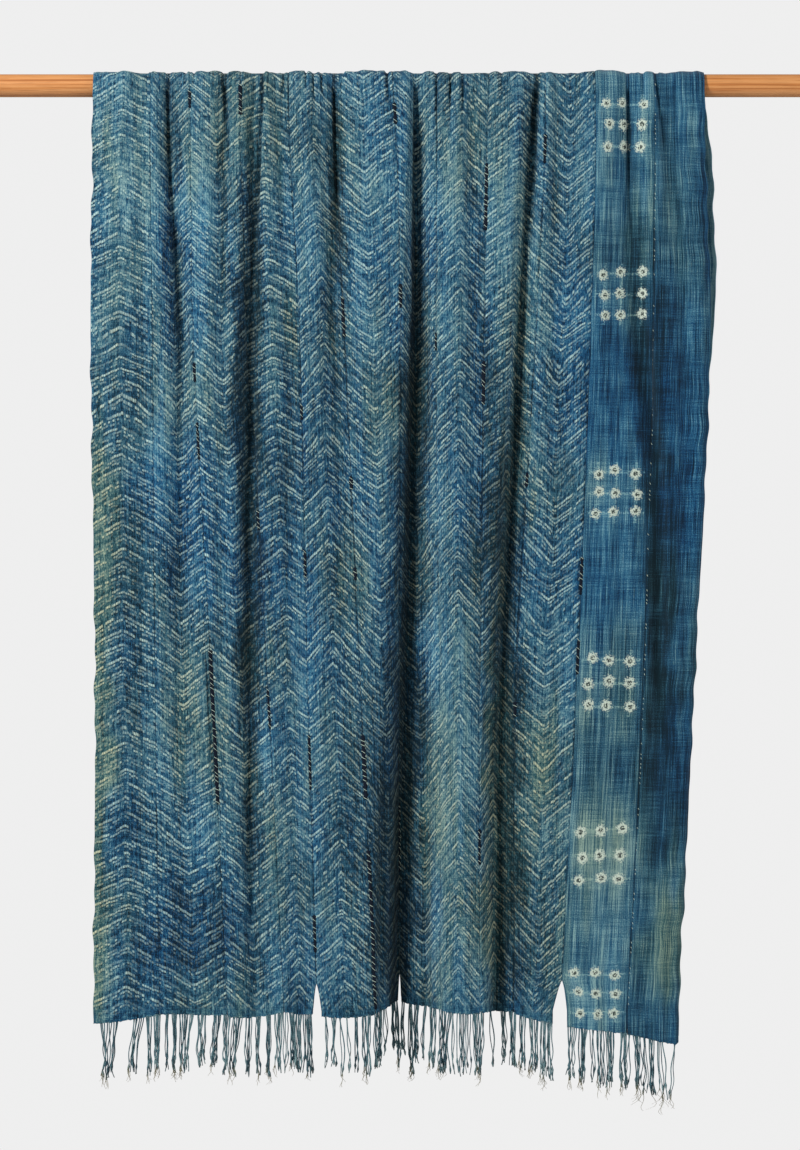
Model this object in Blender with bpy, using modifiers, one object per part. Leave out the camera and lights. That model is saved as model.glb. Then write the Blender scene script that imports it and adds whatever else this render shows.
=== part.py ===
"""Throw blanket of twelve narrow woven strips, draped over a round wooden rod.

The strips are sewn edge to edge. Each one runs unbroken from its front hem, up
over the rod and down to its back hem. The warp ends hang below both hems as a
fringe. Lengths are in metres, +Z is up, +X runs along the rod and the long
front drop hangs on the -Y side. The origin is on the rod's axis, half-way along.
"""

import functools
import math
import random

import bmesh
import bpy
import numpy as np

COLLECTION_NAME = "throw_blanket_on_rod"
MM = 0.001

# Rod
ROD_RADIUS = 0.016
ROD_LENGTH = 1.24
ROD_SIDES = 48
ROD_END_BEVEL = 0.002
ROD_END_ANGLE = math.radians(60)
ROD_ROUGHNESS = 0.45

# Cloth
STRIP_COUNT = 12
THICKNESS = 0.0012
ROD_CLEARANCE = 0.0007
SEAM_GAP = 0.0004
BEND_RADIUS = ROD_RADIUS + ROD_CLEARANCE + THICKNESS / 2
QUARTER_TURN = BEND_RADIUS * math.pi / 2
COLUMNS = 8
WIDTH_SAMPLES = 61
TURN_STEPS = 8
CREST_FLATTENING = 0.65
NORMAL_REACH = 0.0015
SHARP_ANGLE = math.radians(50)
CLOTH_ROUGHNESS = 0.9

# Heights of the front drop's rows and of the back drop's rows, the hems apart
FRONT_ROWS = (-0.03, -0.07, -0.13, -0.22, -0.34, -0.48, -0.64, -0.80, -0.96, -1.11, -1.255)
BACK_ROWS = (-0.03, -0.08, -0.16, -0.28, -0.44)

# Fringe
HEADING_HEIGHT = 0.008
HEADING_GAP = 0.0005
STRAND_WIDTH = 0.0016
TIP_WIDTH = 0.0011
STRAND_SWAY = 0.0014
FRONT_STRANDS = 9
BACK_STRANDS = 6
FRONT_STRAND_STEPS = 2
BACK_STRAND_STEPS = 2
BACK_STRAND_LENGTH = 0.078
STRAND_EVENNESS = (0.88, 1.06)
BACK_FRINGE_SPAN = 3
FRINGE_SEED = 41
FRINGE_ROUGHNESS = 0.85

# The tables below give each line at five heights of the front drop: at the rod,
# just under it, in the upper part, in the lower part and at the hem.
FRONT_LEVELS = (0.0, -0.10, -0.35, -0.85, -1.30)

# Seam lines between the strips, with both selvedges.
# Columns: x in mm at the rod, under it, upper, lower, hem.
SEAMS = (
    (-431, -432, -434, -428, -430),
    (-350, -350, -347, -343, -337),
    (-295, -294, -290, -263, -242),
    (-224, -223, -214, -185, -162),
    (-157, -154, -141, -129, -116),
    (-94, -91, -78, -55, -34),
    (-10, -4, 1, -1, -1),
    (52, 52, 50, 55, 57),
    (125, 122, 118, 112, 112),
    (204, 203, 190, 163, 160),
    (274, 274, 267, 247, 224),
    (357, 357, 354, 341, 319),
    (427, 429, 436, 413, 391),
)

# Lowest point of each strip's front hem, heading included.
# Columns: height in mm at its left edge, at its right edge; strand length in mm.
FRONT_HEMS = (
    (-1319, -1306, 82),
    (-1305, -1306, 80),
    (-1308, -1301, 78),
    (-1301, -1304, 80),
    (-1307, -1304, 84),
    (-1303, -1292, 80),
    (-1293, -1299, 84),
    (-1299, -1303, 84),
    (-1301, -1304, 84),
    (-1306, -1319, 80),
    (-1322, -1333, 84),
    (-1334, -1349, 80),
)

# Seams that have come open above the front hem.
# Columns: seam number, height in mm where it opens, gap in mm at the hem.
SPLITS = (
    (4, -1262, 12),
    (6, -1254, 5),
    (10, -1258, 20),
)

# Crests and troughs of the front drop's folds, from left to right. A fold's place
# is an x in mm, and its stand is how far in mm the cloth comes out in front of the
# plane of the rod's face.
# Columns: place at the five heights, then stand at the five heights.
FOLDS = (
    (-431, -432, -434, -428, -430, 1, 2, 3, 0, 2),
    (-389, -392, -395, -400, -403, 6, 8, 10, 7, 9),
    (-364, -364, -361, -364, -368, 3, 4, 4, 1, 3),
    (-347, -344, -333, -339, -339, 7, 9, 9, 7, 9),
    (-329, -325, -307, -311, -305, 0, -5, -4, 0, 2),
    (-269, -272, -269, -272, -262, 8, 10, 12, 11, 11),
    (-245, -245, -249, -252, -249, 1, 1, 6, 8, 9),
    (-222, -226, -232, -236, -234, 7, 9, 11, 11, 12),
    (-204, -206, -207, -209, -202, 0, -4, -5, -4, 0),
    (-188, -186, -176, -179, -162, 6, 6, 6, 7, 11),
    (-174, -169, -158, -157, -146, 1, 0, 1, 5, 8),
    (-132, -129, -123, -118, -104, 7, 10, 11, 12, 13),
    (-90, -88, -92, -76, -67, 0, -3, -1, 6, 9),
    (-62, -59, -42, -28, -36, 8, 12, 16, 15, 17),
    (7, 8, 0, -15, -26, 9, 11, 11, 7, 0),
    (24, 24, 21, 7, -6, 0, -12, -18, -26, -42),
    (29, 28, 30, 34, 36, 1, -10, -15, -19, -32),
    (39, 45, 64, 70, 73, 5, 6, 11, 14, 13),
    (70, 77, 80, 87, 95, 5, 9, 15, 19, 20),
    (98, 102, 104, 101, 104, 1, 0, 6, 17, 18),
    (168, 160, 150, 115, 112, 8, 10, 11, 16, 18),
    (189, 185, 169, 136, 125, 0, -8, -12, -24, -30),
    (207, 204, 197, 203, 203, 6, 6, 4, 0, -2),
    (223, 220, 213, 218, 214, 1, -1, 0, 2, 2),
    (287, 274, 258, 244, 232, 7, 9, 10, 11, 10),
    (321, 323, 330, 360, 343, 0, -7, -5, 1, 2),
    (353, 358, 375, 389, 364, 6, 8, 8, 6, 9),
    (367, 375, 395, 400, 375, 1, 1, 2, 3, 5),
    (406, 412, 423, 406, 383, 6, 7, 6, 4, 5),
    (428, 430, 436, 413, 392, 2, 0, -2, -3, -2),
)

# The back drop. Its right side swings out past the front before it comes back.
BACK_LEVELS = (0.0, -0.15, -0.30, -0.62)
BACK_SWING = (0.0, 0.011, 0.015, -0.008)
BACK_HEM = -0.628
BACK_HEM_WAVE = 0.006
BACK_HEM_TURN_PER_STRIP = 1.7
BACK_FOLD_GROWTH = 0.8

# Colours, in linear light
INDIGO = (0.055, 0.165, 0.280)
DEEP_INDIGO = (0.035, 0.120, 0.235)
FRINGE_BLUE = (0.030, 0.075, 0.105)
ROD_WOOD = (0.640, 0.290, 0.105)


def glide(height, levels, values):
    """Smooth run through the values, which are given at falling heights."""
    height = min(max(height, levels[-1]), levels[0])
    step = next(i for i in range(len(levels) - 1) if height >= levels[i + 1])
    slopes = []
    for i in (step, step + 1):
        before, after = max(i - 1, 0), min(i + 1, len(levels) - 1)
        slopes.append((values[after] - values[before]) / (levels[after] - levels[before]))
    span = levels[step + 1] - levels[step]
    t = (height - levels[step]) / span
    return (
        values[step] * (1 + 2 * t) * (1 - t) ** 2
        + slopes[0] * span * t * (1 - t) ** 2
        + values[step + 1] * t * t * (3 - 2 * t)
        + slopes[1] * span * t * t * (t - 1)
    )


def swing(x, height):
    """How far the back drop at x has moved sideways at this height."""
    left, right = SEAMS[0][0] * MM, SEAMS[-1][0] * MM
    share = (x - left) / (right - left)
    return share * share * glide(height, BACK_LEVELS, BACK_SWING)


def path(run):
    """Height and side of a point that lies `run` along the warp from the top of the rod.

    The side is the angle round the rod from its front: 0 on the front drop and
    pi on the back drop. Runs are positive towards the front.
    """
    if abs(run) <= QUARTER_TURN:
        return 0.0, math.pi / 2 - run / BEND_RADIUS
    return QUARTER_TURN - abs(run), 0.0 if run > 0 else math.pi


@functools.cache
def fold_lines(run):
    """Where the crests and troughs are at this run, and how far each stands out."""
    height, side = path(run)
    heights = len(FRONT_LEVELS)
    places = []
    stands = []
    for fold in FOLDS:
        if side < math.pi:
            places.append(glide(height, FRONT_LEVELS, fold[:heights]) * MM)
            stands.append(glide(height, FRONT_LEVELS, fold[heights:]) * MM)
        else:
            at_rod = fold[0] * MM
            growth = 1 + BACK_FOLD_GROWTH * height / BACK_LEVELS[-1]
            places.append(at_rod + swing(at_rod, height))
            stands.append(fold[heights] * MM * growth)
    flattening = 1 - CREST_FLATTENING * math.sin(side)
    return np.array(places), np.array(stands) * flattening


def stand_out(x, run):
    """Distance between the cloth and the plane of the rod's face, or the rod's round."""
    places, stands = fold_lines(run)
    right = int(np.clip(np.searchsorted(places, x), 1, len(places) - 1))
    low, high = sorted((right - 1, right), key=lambda i: stands[i])
    t = float(np.clip((x - places[low]) / (places[high] - places[low]), 0, 1))
    round_both = t * t * (3 - 2 * t)
    sharp_trough = math.sin(t * math.pi / 2)
    return stands[low] + (stands[high] - stands[low]) * (round_both + sharp_trough) / 2


def middle(x, run):
    """Point of the cloth's middle surface."""
    height, side = path(run)
    radius = BEND_RADIUS + stand_out(x, run)
    rise = math.sin(side) * radius if 0 < side < math.pi else height
    return np.array((x, -math.cos(side) * radius, rise))


def outward(x, run):
    """Unit normal of the cloth, pointing away from the rod."""
    across = middle(x + NORMAL_REACH, run) - middle(x - NORMAL_REACH, run)
    down = middle(x, run + NORMAL_REACH) - middle(x, run - NORMAL_REACH)
    normal = np.cross(down, across)
    return normal / np.linalg.norm(normal)


def face_point(x, run, lift):
    """Point at a distance from the middle surface: positive on the outer face."""
    return middle(x, run) + outward(x, run) * lift


def seam_x(number, run):
    """Place of a seam or selvedge at this run."""
    height, side = path(run)
    if side < math.pi:
        return glide(height, FRONT_LEVELS, SEAMS[number]) * MM
    at_rod = SEAMS[number][0] * MM
    return at_rod + swing(at_rod, height)


def half_gap(number, run):
    """Half of the gap at a seam, which widens where the seam has come open."""
    height, side = path(run)
    for seam, opens, gap in SPLITS:
        if seam == number and side == 0.0 and height < opens * MM:
            share = (height - opens * MM) / (FRONT_LEVELS[-1] - opens * MM)
            return (SEAM_GAP + (gap * MM - SEAM_GAP) * share) / 2
    return SEAM_GAP / 2


@functools.cache
def folded_width(strip, run):
    """Places across a strip, and the cloth's folded width from its left edge to each."""
    left = seam_x(strip, run) + half_gap(strip, run)
    right = seam_x(strip + 1, run) - half_gap(strip + 1, run)
    places = np.linspace(left, right, WIDTH_SAMPLES)
    depths = [stand_out(x, run) for x in places]
    widths = np.hypot(np.diff(places), np.diff(depths))
    return places, np.concatenate(((0,), np.cumsum(widths)))


def place_across(strip, run, share):
    """Place of a point at a share of the strip's folded width."""
    places, widths = folded_width(strip, run)
    return float(np.interp(share * widths[-1], widths, places))


def hem_height(strip, share, front):
    """Height of the hem's lowest edge at a share of the strip's width."""
    if front:
        left, right, _ = FRONT_HEMS[strip]
        return (left + (right - left) * share) * MM
    return BACK_HEM + BACK_HEM_WAVE * math.sin(BACK_HEM_TURN_PER_STRIP * (strip + share))


def run_at(height, front):
    """Run along the warp of a point that hangs at this height."""
    return (QUARTER_TURN - height) * (1 if front else -1)


def node_material(name, colour, roughness):
    material = bpy.data.materials.new(name)
    material.use_nodes = True
    shader = material.node_tree.nodes["Principled BSDF"]
    shader.inputs["Base Color"].default_value = (*colour, 1)
    shader.inputs["Roughness"].default_value = roughness
    shader.inputs["Metallic"].default_value = 0
    return material


def finish_object(mesh_builder, name, material, collection):
    """Turns the bmesh into an object of the collection, faces pointing out."""
    bmesh.ops.recalc_face_normals(mesh_builder, faces=mesh_builder.faces)
    mesh = bpy.data.meshes.new(name)
    mesh_builder.to_mesh(mesh)
    mesh_builder.free()
    mesh.shade_smooth()
    mesh.set_sharp_from_angle(angle=SHARP_ANGLE)
    mesh.materials.append(material)
    piece = bpy.data.objects.new(name, mesh)
    collection.objects.link(piece)
    return piece


def strip_runs(strip, share):
    """Runs of a strip's rows at a share of its width, from back hem to front hem."""
    back_hem = hem_height(strip, share, False) + HEADING_HEIGHT
    front_hem = hem_height(strip, share, True) + HEADING_HEIGHT
    runs = [run_at(back_hem, False)]
    runs += [run_at(height, False) for height in reversed(BACK_ROWS)]
    runs += [QUARTER_TURN * (2 * i / TURN_STEPS - 1) for i in range(TURN_STEPS + 1)]
    runs += [run_at(height, True) for height in FRONT_ROWS]
    runs.append(run_at(front_hem, True))
    return runs


def add_strip(strip, collection):
    """One woven strip: a grid laid along the drape and extruded by its thickness."""
    rows = len(strip_runs(strip, 0.0))
    sheet = bmesh.new()
    bmesh.ops.create_grid(sheet, x_segments=COLUMNS, y_segments=rows - 1, size=1)
    inner = {}
    for vert in sheet.verts:
        column = round((vert.co.x + 1) / 2 * COLUMNS)
        row = round((vert.co.y + 1) / 2 * (rows - 1))
        run = strip_runs(strip, column / COLUMNS)[row]
        inner[vert] = (place_across(strip, run, column / COLUMNS), run)
    made = bmesh.ops.extrude_face_region(sheet, geom=sheet.faces[:])
    outer = [item for item in made["geom"] if isinstance(item, bmesh.types.BMVert)]
    below = {tuple(vert.co): placed for vert, placed in inner.items()}
    for vert in outer:
        x, run = below[tuple(vert.co)]
        vert.co = face_point(x, run, THICKNESS / 2)
    for vert, (x, run) in inner.items():
        vert.co = face_point(x, run, -THICKNESS / 2)
    colour = DEEP_INDIGO if strip >= STRIP_COUNT - 2 else INDIGO
    name = f"strip_{strip + 1:02d}"
    return finish_object(sheet, name, node_material(name, colour, CLOTH_ROUGHNESS), collection)


def root_edges(strips, front, strands):
    """(strip, share of its width) at a heading's left end, at both edges of each
    strand's root, and at its right end."""
    edges = [(strips[0], 0.0)]
    for strip in strips:
        hem_run = run_at(hem_height(strip, 0.5, front), front)
        width = folded_width(strip, hem_run)[1][-1]
        half_root = STRAND_WIDTH / 2 / width
        for strand in range(strands):
            centre = (strand + 0.5) / strands
            edges += [(strip, centre - half_root), (strip, centre + half_root)]
    return edges + [(strips[-1], 1.0)]


def add_fringe(strips, front, collection):
    """Heading below the hem of some strips, with its warp strands drawn down from it."""
    edges = root_edges(strips, front, FRONT_STRANDS if front else BACK_STRANDS)
    cells = len(edges) - 1
    fringe = bmesh.new()
    bmesh.ops.create_grid(fringe, x_segments=cells, y_segments=1, size=1)
    placed = {}
    for vert in fringe.verts:
        strip, share = edges[round((vert.co.x + 1) / 2 * cells)]
        height = hem_height(strip, share, front)
        if vert.co.y > 0:
            height += HEADING_HEIGHT - HEADING_GAP
        run = run_at(height, front)
        placed[tuple(vert.co)] = (place_across(strip, run, share), run)
    made = bmesh.ops.extrude_face_region(fringe, geom=fringe.faces[:])
    outer = {item for item in made["geom"] if isinstance(item, bmesh.types.BMVert)}
    bottoms = [face for face in fringe.faces if all(vert.co.y < 0 for vert in face.verts)]
    bottoms.sort(key=lambda face: face.calc_center_median().x)
    for vert in fringe.verts:
        x, run = placed[tuple(vert.co)]
        vert.co = face_point(x, run, THICKNESS / 2 if vert in outer else -THICKNESS / 2)
    chance = random.Random(FRINGE_SEED + strips[0] + (0 if front else STRIP_COUNT))
    length = FRONT_HEMS[strips[0]][2] * MM if front else BACK_STRAND_LENGTH
    steps = FRONT_STRAND_STEPS if front else BACK_STRAND_STEPS
    for root in bottoms[1::2]:
        draw_strand(fringe, root, steps, length * chance.uniform(*STRAND_EVENNESS), chance)
    name = f"fringe_{'front' if front else 'back'}_{strips[0] + 1:02d}"
    return finish_object(fringe, name, node_material(name, FRINGE_BLUE, FRINGE_ROUGHNESS), collection)


def draw_strand(fringe, root, steps, length, chance):
    """Draws one strand down from its root face, narrowing and swaying a little."""
    centre = root.calc_center_median().copy()
    spread = [vert.co - centre for vert in root.verts]
    face = root
    for step in range(1, steps + 1):
        share = step / steps
        made = bmesh.ops.extrude_face_region(fringe, geom=[face])
        ring = next(item for item in made["geom"] if isinstance(item, bmesh.types.BMFace))
        bmesh.ops.delete(fringe, geom=[face], context="FACES_ONLY")
        width = 1 + (TIP_WIDTH / STRAND_WIDTH - 1) * share
        sway_x = chance.uniform(-1, 1) * STRAND_SWAY
        sway_y = chance.uniform(-1, 1) * STRAND_SWAY
        for vert, offset in zip(ring.verts, spread):
            vert.co.x = centre.x + offset.x * width + sway_x
            vert.co.y = centre.y + offset.y * width + sway_y
            vert.co.z = centre.z - length * share
        face = ring


def add_rod(collection):
    """Plain round rod along X."""
    bpy.ops.mesh.primitive_cylinder_add(
        vertices=ROD_SIDES,
        radius=ROD_RADIUS,
        depth=ROD_LENGTH,
        rotation=(0, math.pi / 2, 0),
    )
    rod = bpy.context.active_object
    rod.name = "rod"
    rod.data.name = "rod"
    for owner in rod.users_collection:
        owner.objects.unlink(rod)
    collection.objects.link(rod)
    bevel = rod.modifiers.new("eased ends", "BEVEL")
    bevel.width = ROD_END_BEVEL
    bevel.segments = 1
    bevel.limit_method = "ANGLE"
    bevel.angle_limit = ROD_END_ANGLE
    rod.data.shade_smooth()
    rod.data.set_sharp_from_angle(angle=SHARP_ANGLE)
    rod.data.materials.append(node_material("rod", ROD_WOOD, ROD_ROUGHNESS))
    return rod


def main():
    for old in list(bpy.data.objects):
        bpy.data.objects.remove(old, do_unlink=True)
    collection = bpy.data.collections.new(COLLECTION_NAME)
    bpy.context.scene.collection.children.link(collection)
    add_rod(collection)
    for strip in range(STRIP_COUNT):
        add_strip(strip, collection)
        add_fringe([strip], True, collection)
    for first in range(0, STRIP_COUNT, BACK_FRINGE_SPAN):
        add_fringe(list(range(first, first + BACK_FRINGE_SPAN)), False, collection)


main()
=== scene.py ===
# %% [markdown]
# # A stitch-resist indigo throw on a wooden rod
# The real throw is twelve narrow hand-woven strips, sewn edge to edge, stitched and tied, dyed in indigo
# and hung over a round rod. The solids of the frame give each strip its drape. This lesson puts finer cloth
# on the same folds, then dyes it, mends its seams, hangs its fringe and lights it. It starts by loading the
# frame.

# %% Load the frame
import math
import random
from functools import partialmethod

import bmesh
import bpy
import numpy as np
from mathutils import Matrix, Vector


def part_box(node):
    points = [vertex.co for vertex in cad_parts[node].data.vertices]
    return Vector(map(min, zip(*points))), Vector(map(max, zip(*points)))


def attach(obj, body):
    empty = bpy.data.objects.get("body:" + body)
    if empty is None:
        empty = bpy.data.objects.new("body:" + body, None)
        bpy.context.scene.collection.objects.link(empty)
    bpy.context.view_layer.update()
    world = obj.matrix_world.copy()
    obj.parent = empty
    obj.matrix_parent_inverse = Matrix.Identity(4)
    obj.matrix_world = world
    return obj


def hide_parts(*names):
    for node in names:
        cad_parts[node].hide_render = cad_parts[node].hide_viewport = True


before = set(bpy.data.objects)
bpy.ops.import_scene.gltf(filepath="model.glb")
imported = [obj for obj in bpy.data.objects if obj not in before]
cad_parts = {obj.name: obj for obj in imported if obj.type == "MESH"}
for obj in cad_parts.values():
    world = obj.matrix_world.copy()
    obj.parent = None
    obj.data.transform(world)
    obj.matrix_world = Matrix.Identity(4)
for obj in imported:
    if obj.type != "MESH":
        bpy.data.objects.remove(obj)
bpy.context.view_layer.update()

# %% [markdown]
# ## Sizes that everything shares
# Lengths are in metres and +Z is up. The rod runs along X through the origin, and the long front drop hangs
# on the -Y side. The rod's size is read from its solid. The cloth is a little thinner than the strips'
# solids and keeps the same clearance to the rod, so that it lies in the same place.

# %% Rod, cloth and camera sizes
MM = 0.001
rod_low, rod_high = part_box("rod")
ROD_RADIUS = (rod_high.z - rod_low.z) / 2
CLOTH_THICKNESS = 1.0 * MM
CLOTH_CLEARANCE = 1.3 * MM
BEND_RADIUS = ROD_RADIUS + CLOTH_CLEARANCE
QUARTER_TURN = BEND_RADIUS * math.pi / 2
STRIP_COUNT = 12
STRIP_WIDTH = 92 * MM
HEADING_HEIGHT = 8 * MM
# About how far the front drop hangs below the rod
FRONT_DROP = 1.3
print(f"rod {2000 * ROD_RADIUS:.0f} mm across, cloth bends at {1000 * BEND_RADIUS:.1f} mm")

# %% [markdown]
# ## The drape, in tables
# Cloth over a rod hangs in long soft folds. A maker would read them off as crests and troughs: where each
# one is at a few heights, and how far it stands out from the plane of the rod's face. The tables for the
# front are those of the solids, read a little closer. Their lengths are in mm, and between two heights a
# line glides smoothly.

# %% Fold, seam and hem tables
FRONT_LEVELS = (0.0, -0.10, -0.35, -0.85, -1.30)

# Columns: x of each seam and selvedge at the five heights
SEAMS = (
    (-431, -432, -434, -428, -430),
    (-350, -350, -347, -343, -337),
    (-295, -294, -290, -263, -242),
    (-224, -223, -214, -185, -162),
    (-157, -154, -141, -129, -116),
    (-94, -91, -78, -55, -34),
    (-10, -4, 1, -1, -1),
    (52, 52, 50, 55, 57),
    (125, 122, 118, 112, 112),
    (204, 203, 190, 163, 160),
    (274, 274, 267, 247, 224),
    (357, 357, 354, 341, 319),
    (427, 429, 436, 413, 391),
)

# Columns: height of each strip's hem at its left edge, at its right edge; strand length
FRONT_HEMS = (
    (-1319, -1306, 82),
    (-1305, -1306, 80),
    (-1308, -1301, 78),
    (-1301, -1304, 80),
    (-1307, -1304, 84),
    (-1303, -1292, 80),
    (-1293, -1299, 84),
    (-1299, -1303, 84),
    (-1301, -1304, 84),
    (-1306, -1319, 80),
    (-1322, -1333, 84),
    (-1334, -1349, 80),
)

# Columns: seam that has come open, height where it opens, gap at the hem
SPLITS = (
    (4, -1262, 12),
    (6, -1254, 5),
    (10, -1258, 20),
)

# Columns: place of each crest or trough at the five heights, then its stand at the five heights
FOLDS = (
    (-431, -432, -434, -428, -430, 1, 2, 3, 0, 2),
    (-389, -392, -395, -400, -403, 6, 8, 10, 7, 9),
    (-364, -364, -361, -364, -368, 3, 4, 4, 1, 3),
    (-347, -344, -333, -339, -339, 7, 9, 9, 7, 9),
    (-329, -325, -307, -311, -305, 0, -5, -4, 0, 2),
    (-269, -272, -269, -272, -262, 8, 10, 12, 11, 11),
    (-245, -245, -249, -252, -249, 1, 1, 6, 8, 9),
    (-222, -226, -232, -236, -234, 7, 9, 11, 11, 12),
    (-204, -206, -207, -209, -202, 0, -4, -5, -4, 0),
    (-188, -186, -176, -179, -162, 6, 6, 6, 7, 11),
    (-174, -169, -158, -157, -146, 1, 0, 1, 5, 8),
    (-132, -129, -123, -118, -104, 7, 10, 11, 12, 13),
    (-90, -88, -92, -76, -67, 0, -3, -1, 6, 9),
    (-62, -59, -42, -28, -36, 8, 12, 16, 15, 17),
    (7, 8, 0, -15, -26, 9, 11, 11, 7, 0),
    (24, 24, 21, 7, -6, 0, -12, -18, -26, -42),
    (29, 28, 30, 34, 36, 1, -10, -15, -19, -32),
    (39, 45, 64, 70, 73, 5, 6, 11, 14, 13),
    (70, 77, 80, 87, 95, 5, 9, 15, 19, 20),
    (98, 102, 104, 101, 104, 1, 0, 6, 17, 18),
    (168, 160, 150, 115, 112, 8, 10, 11, 16, 18),
    (189, 185, 169, 142, 134, 0, -8, -12, -16, -19),
    (207, 204, 197, 203, 203, 6, 6, 4, 0, -2),
    (223, 220, 213, 218, 214, 1, -1, 0, 2, 2),
    (287, 274, 258, 244, 232, 7, 9, 10, 11, 10),
    (321, 323, 330, 360, 343, 0, -7, -5, 1, 2),
    (353, 358, 375, 389, 364, 6, 8, 8, 6, 9),
    (367, 375, 395, 400, 375, 1, 1, 2, 3, 5),
    (406, 412, 423, 406, 383, 6, 7, 6, 4, 5),
    (428, 430, 436, 413, 392, 2, 0, -2, -3, -2),
)

# The back drop: heights, and how far its right selvedge has swung out at each of them
BACK_LEVELS = (0.0, -0.07, -0.15, -0.30, -0.62)
BACK_SWING = (0.0, 0.011, 0.016, 0.019, -0.008)
# Height of the back hem, its wave, and how fast the wave turns from strip to strip
BACK_HEM = -0.628
BACK_HEM_WAVE = 0.006
BACK_HEM_TURN_PER_STRIP = 1.7
# How much deeper the folds are at the back hem, and how much flatter on top of the rod
BACK_FOLD_GROWTH = 0.8
CREST_FLATTENING = 0.65
print(f"{len(FOLDS)} fold lines, {len(SEAMS)} seams and selvedges")

# %% [markdown]
# ## From the tables to a surface
# A point of the cloth is named by its place across the strip and by its run, the length along the warp from
# the top of the rod, positive towards the front. These functions turn the two into a point in space. They
# take whole arrays, because the fine cloth has two hundred thousand points.


# %% Lines and folds at any run
def glide(height, levels, table):
    """Smooth run through each row of the table, whose columns are values at falling levels."""
    levels = np.array(levels)
    table = np.atleast_2d(np.array(table, float))
    columns = np.arange(len(levels))
    before = np.maximum(columns - 1, 0)
    after = np.minimum(columns + 1, len(levels) - 1)
    slopes = (table[:, after] - table[:, before]) / (levels[after] - levels[before])
    height = np.clip(height, levels[-1], levels[0])
    step = np.clip(np.searchsorted(-levels, -height), 1, len(levels) - 1) - 1
    span = levels[step + 1] - levels[step]
    t = (height - levels[step]) / span
    return (
        table[:, step] * (1 + 2 * t) * (1 - t) ** 2
        + slopes[:, step] * span * t * (1 - t) ** 2
        + table[:, step + 1] * t * t * (3 - 2 * t)
        + slopes[:, step + 1] * span * t * t * (t - 1)
    )


def path(run):
    """Height, and the angle round the rod: 0 on the front drop and pi on the back drop."""
    return np.minimum(QUARTER_TURN - np.abs(run), 0), np.clip(math.pi / 2 - run / BEND_RADIUS, 0, math.pi)


def swing(x, height):
    """How far the back drop at x has moved sideways at this height."""
    left, right = SEAMS[0][0] * MM, SEAMS[-1][0] * MM
    share = (x - left) / (right - left)
    return share * share * glide(height, BACK_LEVELS, BACK_SWING)


def fold_lines(run):
    """Where the crests and troughs are at each run, and how far each stands out."""
    height, side = path(run)
    folds = np.array(FOLDS) * MM
    places, stands = np.split(folds, 2, axis=1)
    growth = 1 + BACK_FOLD_GROWTH * height / BACK_LEVELS[-1]
    behind = side >= math.pi
    swung = places[:, :1] + swing(places[:, :1], height)
    places = np.where(behind, swung, glide(height, FRONT_LEVELS, places))
    stands = np.where(behind, stands[:, :1] * growth, glide(height, FRONT_LEVELS, stands))
    return places, stands * (1 - CREST_FLATTENING * np.sin(side))


def stand_out(x, run):
    """Distance between the cloth and the plane of the rod's face, for arrays of the same shape."""
    shape = x.shape
    x, run = x.ravel(), run.ravel()
    places, stands = fold_lines(run)
    right = np.clip((places < x).sum(axis=0), 1, len(FOLDS) - 1)
    points = np.arange(len(x))
    near, far = places[right - 1, points], places[right, points]
    near_stand, far_stand = stands[right - 1, points], stands[right, points]
    t = np.clip((x - near) / (far - near), 0, 1)
    t = np.where(near_stand <= far_stand, t, 1 - t)
    rise = (t * t * (3 - 2 * t) + np.sin(t * math.pi / 2)) / 2
    low, high = np.minimum(near_stand, far_stand), np.maximum(near_stand, far_stand)
    return (low + (high - low) * rise).reshape(shape)


def middle(x, run):
    """Points of the cloth's middle surface."""
    height, side = path(run)
    radius = BEND_RADIUS + stand_out(x, run)
    return np.stack((x, -np.cos(side) * radius, height + np.sin(side) * radius), axis=-1)


sample = middle(np.array([0.0, 0.1]), np.array([0.5, 0.5]))
print("two points half a metre down the front", sample.round(3).tolist())


# %% Seams, hems and the width of a strip between its folds
# Height of the selvedges' waves, and the lengths that set the long, the short and the slow one
SELVEDGE_WAVE = 1.2 * MM
SELVEDGE_LENGTHS = (0.021, 0.0083, 0.11)


def seam_x(number, run):
    """Place of a seam or selvedge at each run. The selvedges are a little wavy."""
    height, side = path(run)
    at_rod = SEAMS[number][0] * MM
    in_front = glide(height, FRONT_LEVELS, SEAMS[number])[0] * MM
    wave = 0.0
    if number in (0, STRIP_COUNT):
        long, short, slow = SELVEDGE_LENGTHS
        wave = SELVEDGE_WAVE * (np.sin(run / long + number) + np.sin(run / short)) * np.sin(run / slow)
    return np.where(side < math.pi, in_front, at_rod + swing(at_rod, height)[0]) + wave


# Gap at a closed seam, and how fast an open one widens
SEAM_GAP = 0.04 * MM
SPLIT_CURVE = 0.65
# How far each front hem sags in its middle, how ragged the hems are, and how far the last corner curls up,
# all in mm; then the share of the width where that curl starts
HEM_SAGS = (1, 0, 5, 2, 4, 0, 2, 2, 0, 1, 0, 0)
HEM_RAGGED = 0.45
LAST_CORNER = 5.0
LAST_CORNER_START = 0.88


def half_gap(number, run):
    """Half of the gap at a seam, which widens where the seam has come open."""
    height, side = path(run)
    gap = np.full(run.shape, SEAM_GAP)
    for seam, opens, width in SPLITS:
        if seam == number:
            share = np.clip((height - opens * MM) / (FRONT_LEVELS[-1] - opens * MM), 0, 1)
            gap += np.where(side == 0, (width * MM - SEAM_GAP) * share ** SPLIT_CURVE, 0)
    return gap / 2


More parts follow.
